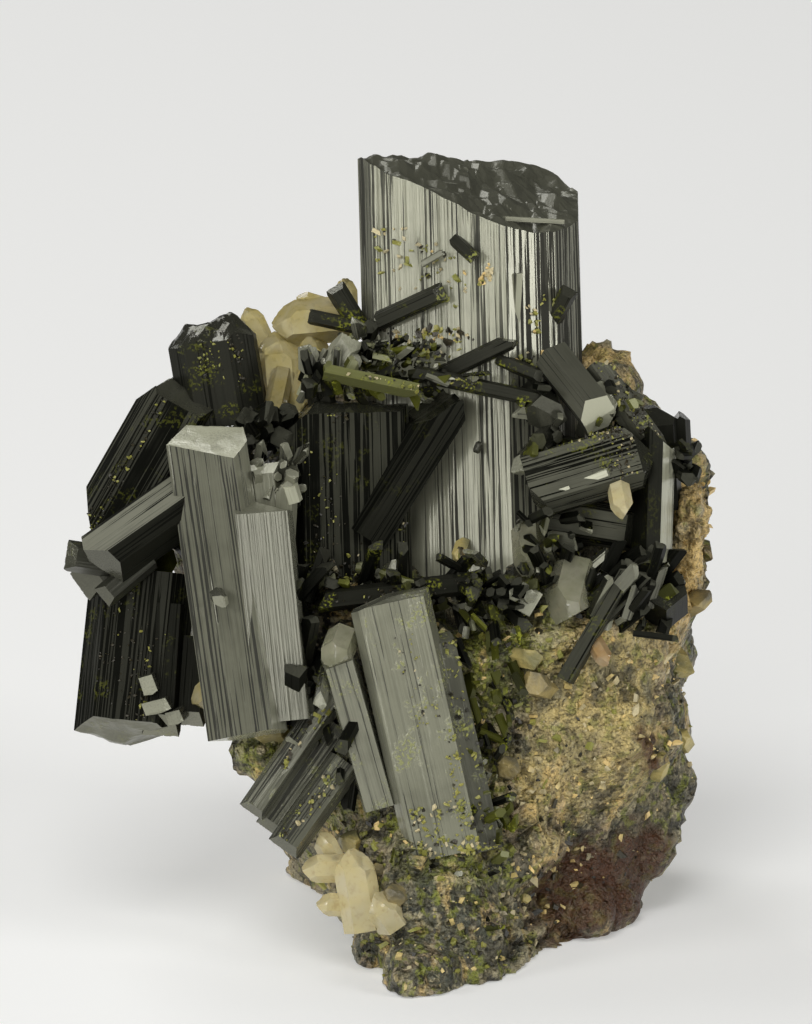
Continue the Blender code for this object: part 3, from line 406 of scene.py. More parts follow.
# Lumps of the rock: middle and half sizes
ROCK_LUMPS = [
    ((21.9, 17.0, 72.0), (4.9, 6.0, 4.7)),
    ((24.6, 15.0, 71.2), (2.9, 4.4, 2.9)),
    ((20.6, 7.6, 9.4), (5.6, 4.6, 4.8)),
    ((24.4, 10.4, 8.8), (3.6, 4.4, 3.6)),
    ((34.4, 8.0, 55.0), (2.4, 4.0, 5.6)),
    ((-16.4, 1.0, 28.0), (4.0, 5.0, 3.8)),
    ((28.0, 16.0, 20.0), (3.4, 5.0, 6.0)),
]
# Size and depth of the rock's bumps: its broken faces as in the CAD, then its grain
BUMPS = [(15.0, 2.4), (8.0, 1.3), (4.2, 0.7)]
FINE_BUMPS = [(2.2, 0.55), (1.1, 0.32), (0.55, 0.16)]

# Stains of the rock: colour, middle in mm, radius and how strongly it covers. The shade ones
# are painted shade where the rock lies between and under the prisms
STAINS = [
    ("shade", (-2, -2, 49), 10.0, 0.9),
    ("shade", (13, -2, 50), 7.0, 0.85),
    ("shade", (-12, -2, 40), 9.0, 0.9),
    ("shade", (-22, 4, 56), 10.0, 0.9),
    ("shade", (0, 6, 74), 8.0, 0.8),
    ("shade", (6, -8, 40), 6.0, 0.8),
    ("shade", (-16, 4, 66), 7.0, 0.95),
    ("shade", (5, -4, 46), 7.0, 0.9),
    ("moss", (11, -6, 42), 9.0, 0.8),
    ("moss", (9, -9, 30), 8.0, 0.9),
    ("moss", (6, -10, 18), 7.0, 0.7),
    ("moss", (-14, -2, 24), 9.0, 0.85),
    ("buff", (25, -2, 36), 11.0, 0.9),
    ("buff", (19, -6, 24), 9.0, 0.85),
    ("buff", (27.5, 1, 26), 7.0, 0.8),
    ("ochre", (34.5, 10, 56), 9.0, 0.95),
    ("ochre", (23, 15, 73), 6.5, 0.85),
    ("ochre", (34, 9, 49), 6.0, 0.95),
    ("ochre", (33, 8, 43), 6.0, 0.7),
    ("ochre", (12, -9, 20), 5.0, 0.5),
    ("slate", (25, -1, 39), 3.6, 0.7),
    ("slate", (20.5, -2, 28), 4.6, 0.4),
    ("slate", (29, 3, 33), 2.6, 0.6),
    ("rust", (21.5, 5, 11), 9.5, 0.95),
    ("rust", (27, 10, 13), 8.0, 0.95),
    ("rust", (29.2, 2.6, 27.6), 3.6, 0.95),
    ("shade", (12, -5, 30), 4.5, 0.7),
    ("shade", (11, -7, 21), 4.0, 0.6),
    ("slate", (4, -10, 6), 8.0, 0.7),
    ("slate", (14, -6, 4), 6.0, 0.6),
    ("ochre", (-2, 34, 40), 12.0, 0.5),
    ("moss", (18, 36, 20), 13.0, 0.6),
    ("rust", (-10, 34, 12), 8.0, 0.6),
    ("slate", (-16, 24, 50), 12.0, 0.5),
]
# Share of the shader's green and dark grains that is missing on a stain
BARE = {"ochre": 0.75, "buff": 0.45, "rust": 0.85}
# Share of green, dark, pale, ochre and plain grains on each kind of stain; the mostly dark grains
# on the shade stains add to the painted shade
CRUMB_MIX = {
    "moss": (0.42, 0.34, 0.08, 0.06, 0.1),
    "shade": (0.2, 0.7, 0.05, 0.0, 0.05),
    "buff": (0.08, 0.1, 0.3, 0.12, 0.4),
    "ochre": (0.04, 0.06, 0.25, 0.3, 0.35),
    "rust": (0.0, 0.4, 0.1, 0.1, 0.4),
    "slate": (0.25, 0.35, 0.1, 0.0, 0.3),
}


def linear(hex_colour):
    """An sRGB hex colour, such as "a0b0c0", as linear red, green, blue and 1."""
    parts = [int(hex_colour[n:n + 2], 16) / 255 for n in (0, 2, 4)]
    return (*[p / 12.92 if p <= 0.04045 else ((p + 0.055) / 1.055) ** 2.4 for p in parts], 1.0)


def colour_property(name, description, hex_colour):
    """A colour that a user may change, given as an sRGB hex value."""
    return FloatVectorProperty(name=name, description=description, subtype="COLOR", size=4,
                               min=0.0, max=1.0, default=linear(hex_colour))


class EpidoteSettings(bpy.types.PropertyGroup):
    """Sizes and colours of the epidote prisms."""

    line_width: FloatProperty(
        name="Line width", description="Mean width of the lines along a prism",
        default=0.2 * MM, min=0.1 * MM, max=1.0 * MM, unit="LENGTH", precision=5)
    dark: colour_property("Epidote", "Colour of a dark, glossy prism", "080906")
    # Colour of the painted sheen that stands for light reflected from the lined faces
    painted_sheen_colour: colour_property("Lined face", "Colour of a face with bright fine lines", "aeae97")
    dust: colour_property("Green dust", "Colour of the yellow-green grains", "868a30")


class QuartzSettings(bpy.types.PropertyGroup):
    """Colours of the quartz crystals."""

    clear: colour_property("Clear quartz", "Colour of the clear, greyish crystals", "aeae8e")
    cream: colour_property("Cream quartz", "Colour of the milky, cream crystals", "f4e6b0")
    honey: colour_property("Honey quartz", "Colour of the yellowish crystals", "d2c27e")
    amber: colour_property("Amber quartz", "Colour of the iron-stained crystals", "b9935a")


class RockSettings(bpy.types.PropertyGroup):
    """Sizes and colours of the rock."""

    rows: IntProperty(name="Rows", description="Rows of points up the rock", default=250, min=60)
    columns: IntProperty(name="Columns", description="Points round the rock", default=380, min=90)
    crumbs: IntProperty(name="Crumbs", description="Number of loose grains", default=4200, min=0)
    ground: colour_property("Rock", "Main colour of the quartz rock", "8f866a")
    pale: colour_property("Pale quartz", "Colour of its bare quartz grains", "cbbf98")
    moss: colour_property("Moss green", "Colour of its fine-grained epidote", "8c9232")
    buff: colour_property("Buff", "Colour of weathered faces", "e2ca84")
    ochre: colour_property("Ochre", "Colour of iron-stained faces", "fcd88c")
    rust: colour_property("Rust", "Colour of rust-brown faces", "523018")
    slate: colour_property("Slate", "Colour of its grey-green base", "55584a")
    tan: colour_property("Tan quartz", "Colour of its smooth pinkish patches", "bfa98a")
    # Colour of the painted shade on the rock between the prisms, and of its dark epidote grains
    shade: colour_property("Dark crust", "Colour of the rock between the prisms", "1b1c15")


class StageSettings(bpy.types.PropertyGroup):
    """Floor, light and camera."""

    floor: colour_property("Floor", "Colour of the pale floor", "e4e4e2")
    distance: FloatProperty(
        name="Camera distance", description="Distance from the camera to the specimen",
        default=1.5, min=0.3, unit="LENGTH")
    field: FloatProperty(
        name="Field", description="Height of the camera's view at the specimen",
        default=122.88 * MM, min=0.02, unit="LENGTH", precision=5)


def hash_values(x, y, z, seed):
    """A random number from 0 to 1 for each whole point, the same on every run."""
    mixed = (x * 374761393 + y * 668265263 + z * 1442695041 + seed * 974711) & 0xFFFFFFFF
    mixed = ((mixed ^ (mixed >> 13)) * 1274126177) & 0xFFFFFFFF
    return ((mixed >> 8) & 0xFFFF) / 65535


def lattice_noise(places, seed):
    """Smooth noise from -1 to 1: a random number at each whole point, blended between them."""
    low = np.floor(places).astype(np.int64)
    part = places - low
    part = part * part * (3 - 2 * part)
    total = np.zeros(places.shape[:-1])
    for corner in itertools.product((0, 1), repeat=3):
        value = 2 * hash_values(*np.moveaxis(low + corner, -1, 0), seed) - 1
        total += value * np.prod(np.where(corner, part, 1 - part), axis=-1)
    return total


def creased(places, bumps, first_seed=0):
    """Height of bumps with a sharp crease between them: the sum over the sizes of the noise's
    distance from zero."""
    return sum(depth * (2 * np.abs(lattice_noise(places / size, first_seed + n)) - 0.6)
               for n, (size, depth) in enumerate(bumps))


def hillocks(x, y, size, seed):
    """Height from 0 to 1 of three-sided pyramids: each point takes the highest of the nine
    pyramids round it, and each falls off with the greatest of three distances, about 120 degrees
    apart, from its top. Each pyramid is turned and leans a little its own way."""
    cell_x, cell_y = np.floor(x / size).astype(np.int64), np.floor(y / size).astype(np.int64)
    height = np.full(np.broadcast(x, y).shape, -9.0)
    for over, up in itertools.product((-1, 0, 1), repeat=2):
        i, j = cell_x + over, cell_y + up
        top_x = (i + hash_values(i, j, 0, seed)) * size
        top_y = (j + hash_values(i, j, 1, seed)) * size
        turn = 0.9 * hash_values(i, j, 3, seed)
        fall = np.max([((x - top_x) * np.cos(a + turn) + (y - top_y) * np.sin(a + turn))
                       * (0.6 + 0.8 * hash_values(i, j, 4 + n, seed))
                       for n, a in enumerate(np.radians((60, 180, 300)))], axis=0)
        height = np.maximum(height, hash_values(i, j, 2, seed) - 1.7 * fall / size)
    return height


def prism_axes(prism):
    """The prism's foot, its own axes as rows (across, away, along) and its length."""
    foot = np.array(prism.foot, float)
    along = np.array(prism.tip, float) - foot
    length = np.linalg.norm(along)
    along /= length
    away = -np.array(prism.front, float)
    away -= away @ along * along
    away /= np.linalg.norm(away)
    return foot, np.array([np.cross(away, along), away, along]), length


def end_heights(prism, length, x, y):
    """Lowest and highest point of the prism above each place of its section: the highest of its
    foot planes and the lowest of its tip planes."""
    low, high = np.zeros_like(x), np.full_like(x, length)
    for azimuth, tilt, back in prism.ends:
        run = x * math.cos(math.radians(azimuth)) + y * math.sin(math.radians(azimuth))
        if tilt > 90:
            low = np.maximum(low, back - run * math.tan(math.radians(tilt)))
        else:
            high = np.minimum(high, length - back - run * math.tan(math.radians(tilt)))
    return low, np.maximum(high, low + 0.01)


def section(corners, step, chance):
    """Places round a section at uneven steps, each with its side's number and the direction out
    of that side."""
    places, sides, outward = [], [], []
    for side, (start, end) in enumerate(zip(corners, corners[1:] + corners[:1])):
        start, run = np.array(start, float), np.subtract(end, start).astype(float)
        count = max(2, round(np.linalg.norm(run) / step))
        part = (np.arange(count) + np.r_[0, chance.uniform(-0.4, 0.4, count - 1)]) / count
        places.append(start + part[:, None] * run)
        sides += [side] * count
        outward.append(np.tile((run[1], -run[0]) / np.linalg.norm(run), (count, 1)))
    return np.concatenate(places), np.array(sides), np.concatenate(outward)


def grooves(rows, columns, chance):
    """Depth from 0 to 1 of the grooves: runs of one to nine columns share a depth, which changes
    once, at a random row, and every column adds a little of its own."""
    run = np.repeat(np.arange(columns), chance.integers(1, 10, columns))[:columns]
    first, later = chance.random((2, columns)) ** 1.5
    change = chance.random(columns)[run] < np.linspace(0, 1, rows)[:, None]
    fine = chance.random(columns)
    return 0.86 * np.where(change, later[run], first[run]) + 0.14 * fine


def prism_rings(prism, finish, step, seed, end_rings):
    """Closed skin of one crystal, as rings of points in its own axes, with a side's number for
    each column and True for each row of rings that belongs to an end.

    The section is carried from foot to tip, set back by its grooves, and stretched between the
    heights of its end planes. Both ends are closed by rings that shrink towards the section's
    middle, with small pyramids on the tip."""
    chance = np.random.default_rng(seed)
    length = prism_axes(prism)[2]
    places, sides, outward = section(prism.corners, step, chance)
    rows = max(5, round(length / 1.2))
    depth = finish.groove * grooves(rows, len(places), chance)
    side_places = places - outward * depth[..., None]
    middle = places.mean(axis=0)
    shrink = 1 - np.linspace(0, 1, end_rings + 1)[1:-1]
    foot_places = middle + (side_places[0] - middle) * shrink[::-1, None, None]
    tip_places = middle + (side_places[-1] - middle) * shrink[:, None, None]
    flat = np.concatenate([foot_places, side_places, tip_places])
    low, high = end_heights(prism, length, flat[..., 0], flat[..., 1])
    if finish.rough:
        inner = np.concatenate([np.ones(len(foot_places)), np.ones(rows), shrink])
        fade = np.clip(0.3 + 6 * (1 - inner), 0, 1)[:, None]
        high = high + finish.rough * fade * (
            hillocks(flat[..., 0], flat[..., 1], 4.2, seed)
            + 0.3 * hillocks(flat[..., 0], flat[..., 1], 1.9, seed + 1) - 0.5)
    part = np.concatenate([np.zeros(len(foot_places)), np.linspace(0, 1, rows),
                           np.ones(len(tip_places))])
    z = low + (high - low) * part[:, None]
    at_end = np.ones(len(flat) + 1, bool)
    at_end[len(foot_places) + 1:len(foot_places) + rows] = False
    return np.concatenate([flat, z[..., None]], axis=-1), sides, at_end


def close_rings(rings):
    """Points and faces of the closed skin through rings of points: four-sided faces between
    rings, and a fan of triangles to the middle point of the first and of the last ring."""
    rows, columns = rings.shape[:2]
    points = np.concatenate([rings.reshape(-1, 3), [rings[0].mean(axis=0)],
                             [rings[-1].mean(axis=0)]])
    index = np.arange(rows * columns).reshape(rows, columns)
    after = np.roll(index, -1, axis=1)
    quads = np.stack([index[:-1], after[:-1], after[1:], index[1:]], axis=-1).reshape(-1, 4)
    bottom = np.stack([after[0], index[0], np.full(columns, rows * columns)], axis=-1)
    top = np.stack([index[-1], after[-1], np.full(columns, rows * columns + 1)], axis=-1)
    return points, quads, np.concatenate([bottom, top])


def to_row_frame(points):
    """Points from the leaning frame, in millimetres, to the row frame, in metres: moved so that
    the broken face's middle is the origin, then turned about x by the lean."""
    moved = points - (REST_X, REST_Y, ground_z(REST_Y))
    c, s = math.cos(LEAN), math.sin(LEAN)
    return moved @ np.array([[1, 0, 0], [0, c, -s], [0, s, c]]) * MM


def above_floor(places):
    """Places in the row frame, with what lies below the broken face raised to it."""
    return np.stack([places[..., 0], places[..., 1], np.maximum(places[..., 2], 0)], axis=-1)


def make_piece(name, arrays, materials, nodes=(), standing=False):
    """Makes a piece of the specimen from arrays: points, four-sided faces and triangles, then the
    look of each face and each point's place in its crystal's own axes, where they are given. A
    dull face, by the last part of its look, takes the second material. A standing piece has its
    points in the row frame already, in millimetres."""
    points, quads, triangles, *more = arrays
    mesh = bpy.data.meshes.new(name)
    places = points * MM if standing else above_floor(to_row_frame(points))
    mesh.vertices.add(len(places))
    mesh.vertices.foreach_set("co", places.astype(np.float32).ravel())
    corners = np.concatenate([quads.ravel(), triangles.ravel()]).astype(np.int32)
    sizes = np.concatenate([np.full(len(quads), 4), np.full(len(triangles), 3)])
    mesh.loops.add(len(corners))
    mesh.loops.foreach_set("vertex_index", corners)
    mesh.polygons.add(len(sizes))
    mesh.polygons.foreach_set("loop_start", (np.cumsum(sizes) - sizes).astype(np.int32))
    mesh.update(calc_edges=True)
    mesh.shade_flat()
    kinds = (("face_look", "FLOAT_COLOR", "FACE", "color"),
             ("grown", "FLOAT_VECTOR", "POINT", "vector"))
    for (label, kind, domain, field), values in zip(kinds, more):
        mesh.attributes.new(label, kind, domain).data.foreach_set(
            field, values.astype(np.float32).ravel())
    for material in materials:
        mesh.materials.append(material)
    if len(materials) > 1:
        mesh.polygons.foreach_set("material_index", (more[0][:, 3] > 0.5).astype(np.int32))
    piece = bpy.data.objects.new(name, mesh)
    bpy.context.scene.collection.objects.link(piece)
    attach(piece, "root")
    if nodes:
        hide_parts(*nodes)


def crystal_arrays(prism, finish, step, seed, end_rings):
    """Points, faces, looks and own-axes places of one crystal, whose sides are cut at steps of
    about that many mm, and whose ends have that many rings."""
    rings, sides, at_end = prism_rings(prism, finish, step, seed, end_rings)
    local, quads, triangles = close_rings(rings)
    foot, axes, _ = prism_axes(prism)
    side_looks = np.stack([np.broadcast_to(np.asarray(part, float), len(prism.corners))[sides]
                           for part in (finish.sides, finish.dust, finish.contrast, finish.dull)],
                          axis=-1)
    end_look = (finish.end, np.mean(finish.dust), 0.1, finish.end_dull)
    looks = np.where(at_end[1:-1, None, None], end_look, side_looks).reshape(-1, 4)
    looks = np.concatenate([looks, np.tile(end_look, (len(triangles), 1))])
    offset = np.random.default_rng(seed).uniform(-500, 500, 3)
    return local @ axes + foot, quads, triangles, looks, local + offset


def join_arrays(parts):
    """Several (points, quads, triangles, looks, grown) as one, with every face still at its own
    points, and the looks of all quads before those of all triangles."""
    start = np.cumsum([0] + [len(part[0]) for part in parts[:-1]])
    quads = [part[1] + at for part, at in zip(parts, start)]
    triangles = [part[2] + at for part, at in zip(parts, start)]
    looks = [part[3][:len(part[1])] for part in parts] + [part[3][len(part[1]):] for part in parts]
    return (np.concatenate([part[0] for part in parts]), np.concatenate(quads),
            np.concatenate(triangles), np.concatenate(looks),
            np.concatenate([part[4] for part in parts]))


def add_node(tree, kind, inputs=(), **settings):
    """Adds a shader node with its settings, and sets or links its inputs by name or number."""
    new = tree.nodes.new("ShaderNode" + kind)
    for name, value in settings.items():
        setattr(new, name, value)
    for socket, value in dict(inputs).items():
        if isinstance(value, bpy.types.NodeSocket):
            tree.links.new(value, new.inputs[socket])
        else:
            new.inputs[socket].default_value = value
    return new.outputs


def start_material(name):
    """A new material, its node tree, and the specimen's place in mm as a vector."""
    new = bpy.data.materials.new(name)
    new.use_nodes = True
    tree = new.node_tree
    tree.nodes.clear()
    place = add_node(tree, "TexCoord")["Object"]
    rest = (REST_X, REST_Y, ground_z(REST_Y))
    place = add_node(tree, "Mapping", {
        "Vector": place, "Scale": (1 / MM, 1 / MM, 1 / MM), "Rotation": (LEAN, 0, 0),
        "Location": rest})[0]
    return new, tree, place


# The settings of a node that multiplies two numbers and keeps the result from 0 to 1
PRODUCT = {"operation": "MULTIPLY", "use_clamp": True}


def noise(tree, place, scale, low, high, detail=2.0, top=1.0, move=None):
    """Noise at so many waves a millimetre, spread so that low gives 0 and high gives top, and
    taken from another part of space where move is given."""
    if move:
        place = add_node(tree, "VectorMath", {0: place, 1: move})[0]
    wave = add_node(tree, "TexNoise", {"Vector": place, "Scale": scale, "Detail": detail})[0]
    return add_node(tree, "MapRange", {0: wave, 1: low, 2: high, 3: 0.0, 4: top})[0]


def coats(tree, colour, *layers):
    """A colour with coats laid over it. A coat is its colour and one or more shares from 0 to 1,
    whose product says how much it covers of what lies below it."""
    for coat, *shares in layers:
        cover = shares[0]
        for share in shares[1:]:
            cover = add_node(tree, "Math", {0: cover, 1: share}, **PRODUCT)[0]
        colour = add_node(tree, "Mix", {0: cover, 6: colour, 7: coat}, data_type="RGBA")[2]
    return colour


def epidote_material(name, settings, gloss, sharpest):
    """Epidote, grown as lined prisms: near-black green glass with fine dark lines along each prism,
    between which a painted silver sheen stands for light reflected by the faces, and yellow-green
    dust on some faces. The gloss is full on smooth faces, and weak on those whose etched skin
    scatters the light."""
    new, tree, place = start_material(name)
    grown = add_node(tree, "Attribute", attribute_name="grown")["Vector"]
    look = add_node(tree, "Attribute", attribute_name="face_look")
    painted_sheen, dust, contrast = add_node(tree, "SeparateColor", {0: look["Color"]})
    # Dark lines 0.2 to 0.5 mm wide that run for many millimetres, gathered in bands, between
    # faint ones of 0.1 mm
    lines = add_node(tree, "Mapping", {"Vector": grown, "Scale": (1.0, 1.0, 0.012)})[0]
    band = noise(tree, lines, 0.35, 0.42, 0.60, 2.0, 0.13)
    wide = add_node(tree, "TexNoise", {"Vector": lines, "Scale": 3.4, "Detail": 2.5})[0]
    wide = add_node(tree, "Math", {0: wide, 1: band})[0]
    wide = add_node(tree, "Math", {0: contrast, 1: 0.1, 2: wide}, operation="MULTIPLY_ADD")[0]
    bold = add_node(tree, "MapRange", {0: wide, 1: 0.745, 2: 0.775, 3: 0.0, 4: 1.0})[0]
    bold = add_node(tree, "Math", {0: bold, 1: contrast}, **PRODUCT)[0]
    faint = noise(tree, lines, 4.5, 0.38, 0.68, 3.0, 0.24)
    line = add_node(tree, "Math", {0: bold, 1: faint})[0]
    # The painted silver sheen is uneven in clouds of about 5 mm, and missing in the lines
    cloud = noise(tree, place, 0.22, 0.25, 0.7, 3.0)
    even = add_node(tree, "Math", {0: cloud, 1: 0.36, 2: 0.84}, operation="MULTIPLY_ADD")[0]
    share = add_node(tree, "Math", {0: even, 1: line}, operation="SUBTRACT", use_clamp=True)[0]
    # Green dust in patches a few millimetres across, of grains about 0.3 mm
    patch = noise(tree, place, 0.3, 0.55, 0.72, 3.0)
    grain = noise(tree, place, 2.6, 0.50, 0.62, 4.0)
    scatter = add_node(tree, "Math", {0: patch, 1: grain}, **PRODUCT)[0]
    scatter = add_node(tree, "Math", {0: scatter, 1: 2.2}, **PRODUCT)[0]
    amount = add_node(tree, "Math", {0: dust, 1: 1.6}, **PRODUCT)[0]
    dusty = add_node(tree, "Math", {0: scatter, 1: amount}, **PRODUCT)[0]
    # Past 1, the dust covers the whole face
    whole = add_node(tree, "MapRange", {0: dust, 1: 1.0, 2: 2.0, 3: 0.0, 4: 0.9})[0]
    dusty = add_node(tree, "Math", {0: dusty, 1: whole}, use_clamp=True)[0]
    # Painted sheen: the silver laid over the dark glass, by each face's share, stands for reflected
    # light
    colour = coats(tree, settings.dark, (settings.painted_sheen_colour, painted_sheen, share), (settings.dust, dusty))
    # Dull faces, the grooves of the bold lines and the dust scatter the light
    roughness = add_node(tree, "MapRange", {0: look["Alpha"], 2: 0.5, 3: sharpest, 4: 0.4})[0]
    for cover, rough in ((bold, 0.8), (dusty, 0.7)):
        roughness = add_node(tree, "Mix", {0: cover, 2: roughness, 3: rough},
                             data_type="FLOAT")[0]
    bump = add_node(tree, "Bump", {"Height": line, "Distance": -0.05 * MM, "Strength": 0.6})[0]
    bump = add_node(tree, "Bump", {"Height": dusty, "Distance": 0.15 * MM, "Strength": 0.6,
                                   "Normal": bump})[0]
    shader = add_node(tree, "BsdfPrincipled", {
        "Base Color": colour, "Roughness": roughness, "Normal": bump, "IOR": 1.74,
        "Specular IOR Level": gloss, "Specular Tint": linear("fbfae6")})[0]
    add_node(tree, "OutputMaterial", {0: shader})
    return new


def quartz_material(name, colour, clearness, stain):
    """Quartz crystal: clear glass of IOR 1.544 with milky veils inside; colour is its body and
    stain the iron stain that gathers in its flaws."""
    new, tree, place = start_material(name)
    veil = noise(tree, place, 0.45, 0.35, 0.7, 3.0)
    flaw = noise(tree, place, 1.5, 0.52, 0.70, 3.0)
    tint = coats(tree, colour, (stain, flaw, 0.35), (linear("f0ead2"), veil, 0.4))
    bump = add_node(tree, "Bump", {"Height": noise(tree, place, 0.7, 0.3, 0.7, 3.0),
                                   "Distance": 0.04 * MM, "Strength": 0.08})[0]
    shader = add_node(tree, "BsdfPrincipled", {
        "Base Color": tint, "Roughness": 0.08, "IOR": 1.544, "Normal": bump,
        "Transmission Weight": clearness})[0]
    add_node(tree, "OutputMaterial", {0: shader})
    return new


def rock_material(settings):
    """Quartz rock, broken and weathered: buff and grey grains about a millimetre across, with
    moss-green epidote, ochre and rust stains, and slate-grey towards its foot."""
    new, tree, place = start_material("weathered_quartz_rock")
    # The stains' edges are pushed about by up to 7 mm
    warp = add_node(tree, "TexNoise", {"Vector": place, "Scale": 0.22, "Detail": 4.0})[1]
    shift = add_node(tree, "VectorMath", {0: warp, 1: (0.5, 0.5, 0.5)}, operation="SUBTRACT")[0]
    shift = add_node(tree, "VectorMath", {0: shift, "Scale": 14.0}, operation="SCALE")[0]
    warped = add_node(tree, "VectorMath", {0: place, 1: shift})[0]
    colour = coats(tree, settings.ground,
                   (settings.slate, noise(tree, place, 0.35, 0.38, 0.62, 4.0)))
    # Where grains are seen: fewer of them on a bare stain
    grit = 1.0
    # The shade stains paint shade on the rock between the prisms; the others are its stains
    for name, middle, radius, strength in STAINS:
        reach = add_node(tree, "VectorMath", {0: warped, 1: middle}, operation="DISTANCE")[1]
        edge = {0: reach, 1: 0.55 * radius, 2: 1.15 * radius}
        cover = add_node(tree, "MapRange", {**edge, 3: strength, 4: 0.0})[0]
        colour = coats(tree, colour, (getattr(settings, name), cover))
        if name in BARE:
            seen = add_node(tree, "MapRange", {**edge, 3: 1 - BARE[name] * strength, 4: 1.0})[0]
            grit = add_node(tree, "Math", {0: grit, 1: seen}, **PRODUCT)[0]
    # Iron stain, smooth tan quartz and slate-grey in upright patches of 2 to 8 mm, except on rust
    patchy = add_node(tree, "MapRange", {0: grit, 1: 0.15, 2: 0.5, 3: 0.0, 4: 1.0})[0]
    upright = add_node(tree, "Mapping", {"Vector": place, "Scale": (1.0, 1.0, 0.5)})[0]
    for name, move, low in (("ochre", (17, 5, 9), 0.56), ("tan", (5, 61, 23), 0.58),
                            ("slate", (41, 13, 7), 0.57)):
        patch = noise(tree, upright, 0.26, low, low + 0.07, 4.0, 0.6, move)
        colour = coats(tree, colour, (getattr(settings, name), patch, patchy))
    # Grains 0.5 to 1 mm across, some pale quartz, some green and some dark epidote, and then
    # specks of 0.3 mm
    kept = add_node(tree, "MapRange", {0: grit, 3: 0.35, 4: 1.0})[0]
    colour = coats(
        tree, colour,
        (settings.pale, noise(tree, place, 1.0, 0.55, 0.66, 4.0, 0.75), grit),
        (settings.moss, noise(tree, place, 0.6, 0.54, 0.62, 4.0, 0.8, (31, 7, 3)), grit),
        (settings.shade, noise(tree, place, 0.8, 0.57, 0.66, 4.0, 0.85, (3, 47, 13)), grit),
        (linear("37331f"), noise(tree, place, 2.2, 0.48, 0.62, 4.0, 0.7), kept))
    # Painted shade darkens the creases between the bumps, and a painted highlight makes their tops
    # a little paler
    relief = add_node(tree, "Attribute", attribute_name="face_look")["Fac"]
    painted_crease_shade = add_node(tree, "MapRange", {0: relief, 1: 0.40, 2: 0.10, 3: 0.0, 4: 0.75})[0]
    high = add_node(tree, "MapRange", {0: relief, 1: 0.55, 2: 0.9, 3: 0.0, 4: 0.5})[0]
    colour = coats(tree, colour, (linear("201d12"), painted_crease_shade, kept), (settings.pale, high, grit))
    # Chips of 1 to 2 mm, and grain of half a millimetre on them
    chips = add_node(tree, "Bump", {"Height": noise(tree, place, 0.55, 0.3, 0.7, 3.0),
                                    "Distance": 1.1 * MM, "Strength": 0.8})[0]
    bump = add_node(tree, "Bump", {"Height": noise(tree, place, 1.6, 0.25, 0.75, 5.0),
                                   "Distance": 0.5 * MM, "Strength": 1.0, "Normal": chips})[0]
    shader = add_node(tree, "BsdfPrincipled", {
        "Base Color": colour, "Roughness": 0.4, "Normal": bump, "IOR": 1.54})[0]
    add_node(tree, "OutputMaterial", {0: shader})
    return new


def grain_material(settings, epidote):
    """Loose grains on the rock: bits of quartz, moss-green epidote and near-black epidote, each
    of one colour, which face_look gives as (green, dark, pale, ochre)."""
    new, tree, place = start_material("rock_grains")
    look = add_node(tree, "Attribute", attribute_name="face_look")
    green, dark, pale = add_node(tree, "SeparateColor", {0: look["Color"]})
    colour = coats(tree, settings.buff,
                   (settings.ground, noise(tree, place, 0.3, 0.4, 0.6, 3.0)),
                   (settings.pale, pale), (settings.ochre, look["Alpha"]),
                   (epidote.dust, green), (epidote.dark, dark))
    bump = add_node(tree, "Bump", {"Height": noise(tree, place, 2.5, 0.3, 0.7, 3.0),
                                   "Distance": 0.15 * MM, "Strength": 0.5})[0]
    shader = add_node(tree, "BsdfPrincipled", {
        "Base Color": colour, "Roughness": 0.4, "Normal": bump, "IOR": 1.6})[0]
    add_node(tree, "OutputMaterial", {0: shader})
    return new


def rock_places(heights, turn):
    """Places on the rock and the directions out of it, for heights and turns in radians of any
    shape: the rings of radii are smoothed round the rock by their Fourier series, blended
    between levels, closed at the top, and roughened by creased bumps."""
    levels = sorted(ROCK_LEVELS)
    middles = np.array([ROCK_LEVELS[z][0] for z in levels], float)
    rings = np.array([ROCK_LEVELS[z][1] for z in levels], float)
    fine = 720
    smooth = np.fft.irfft(np.fft.rfft(rings, axis=1), fine, axis=1) * fine / rings.shape[1]
    level = np.interp(heights, levels, np.arange(len(levels)))
    low = np.minimum(level.astype(int), len(levels) - 2)
    spot = turn / (2 * np.pi) * fine
    left = np.floor(spot).astype(int)
    along = spot - left
    ends = [smooth[row, left % fine] * (1 - along) + smooth[row, (left + 1) % fine] * along
            for row in (low, low + 1)]
    radii = ends[0] + (ends[1] - ends[0]) * (level - low)
    radii = radii * np.clip((ROCK_TOP - heights) / (ROCK_TOP - levels[-1]), 0, 1) ** 0.5
    places = np.stack([np.interp(heights, levels, middles[:, 0]) + radii * np.cos(turn),
                       np.interp(heights, levels, middles[:, 1]) + radii * np.sin(turn),
                       heights], axis=-1)
    outward = np.stack([np.cos(turn), np.sin(turn), np.full(turn.shape, 0.25)], axis=-1)
    return places + outward * creased(places, BUMPS)[..., None], outward


def rock_grain(places):
    """Height in mm of the rock's fine grain: creased bumps, strong in some patches and faint in
    others about 6 mm across."""
    strength = np.clip(0.75 + 1.3 * lattice_noise(places / 6.0, 31), 0.25, 1.25)
    return strength * creased(places, FINE_BUMPS, 11)


def behind_tower(places):
    """How far, from 0 to 1, a place lies within the hollow behind the tower's low face."""
    near = ((places[..., 0] - 5) / 9) ** 2 + ((places[..., 2] - 52) / 7) ** 2
    return np.where(places[..., 1] < 12, np.exp(-near), 0)


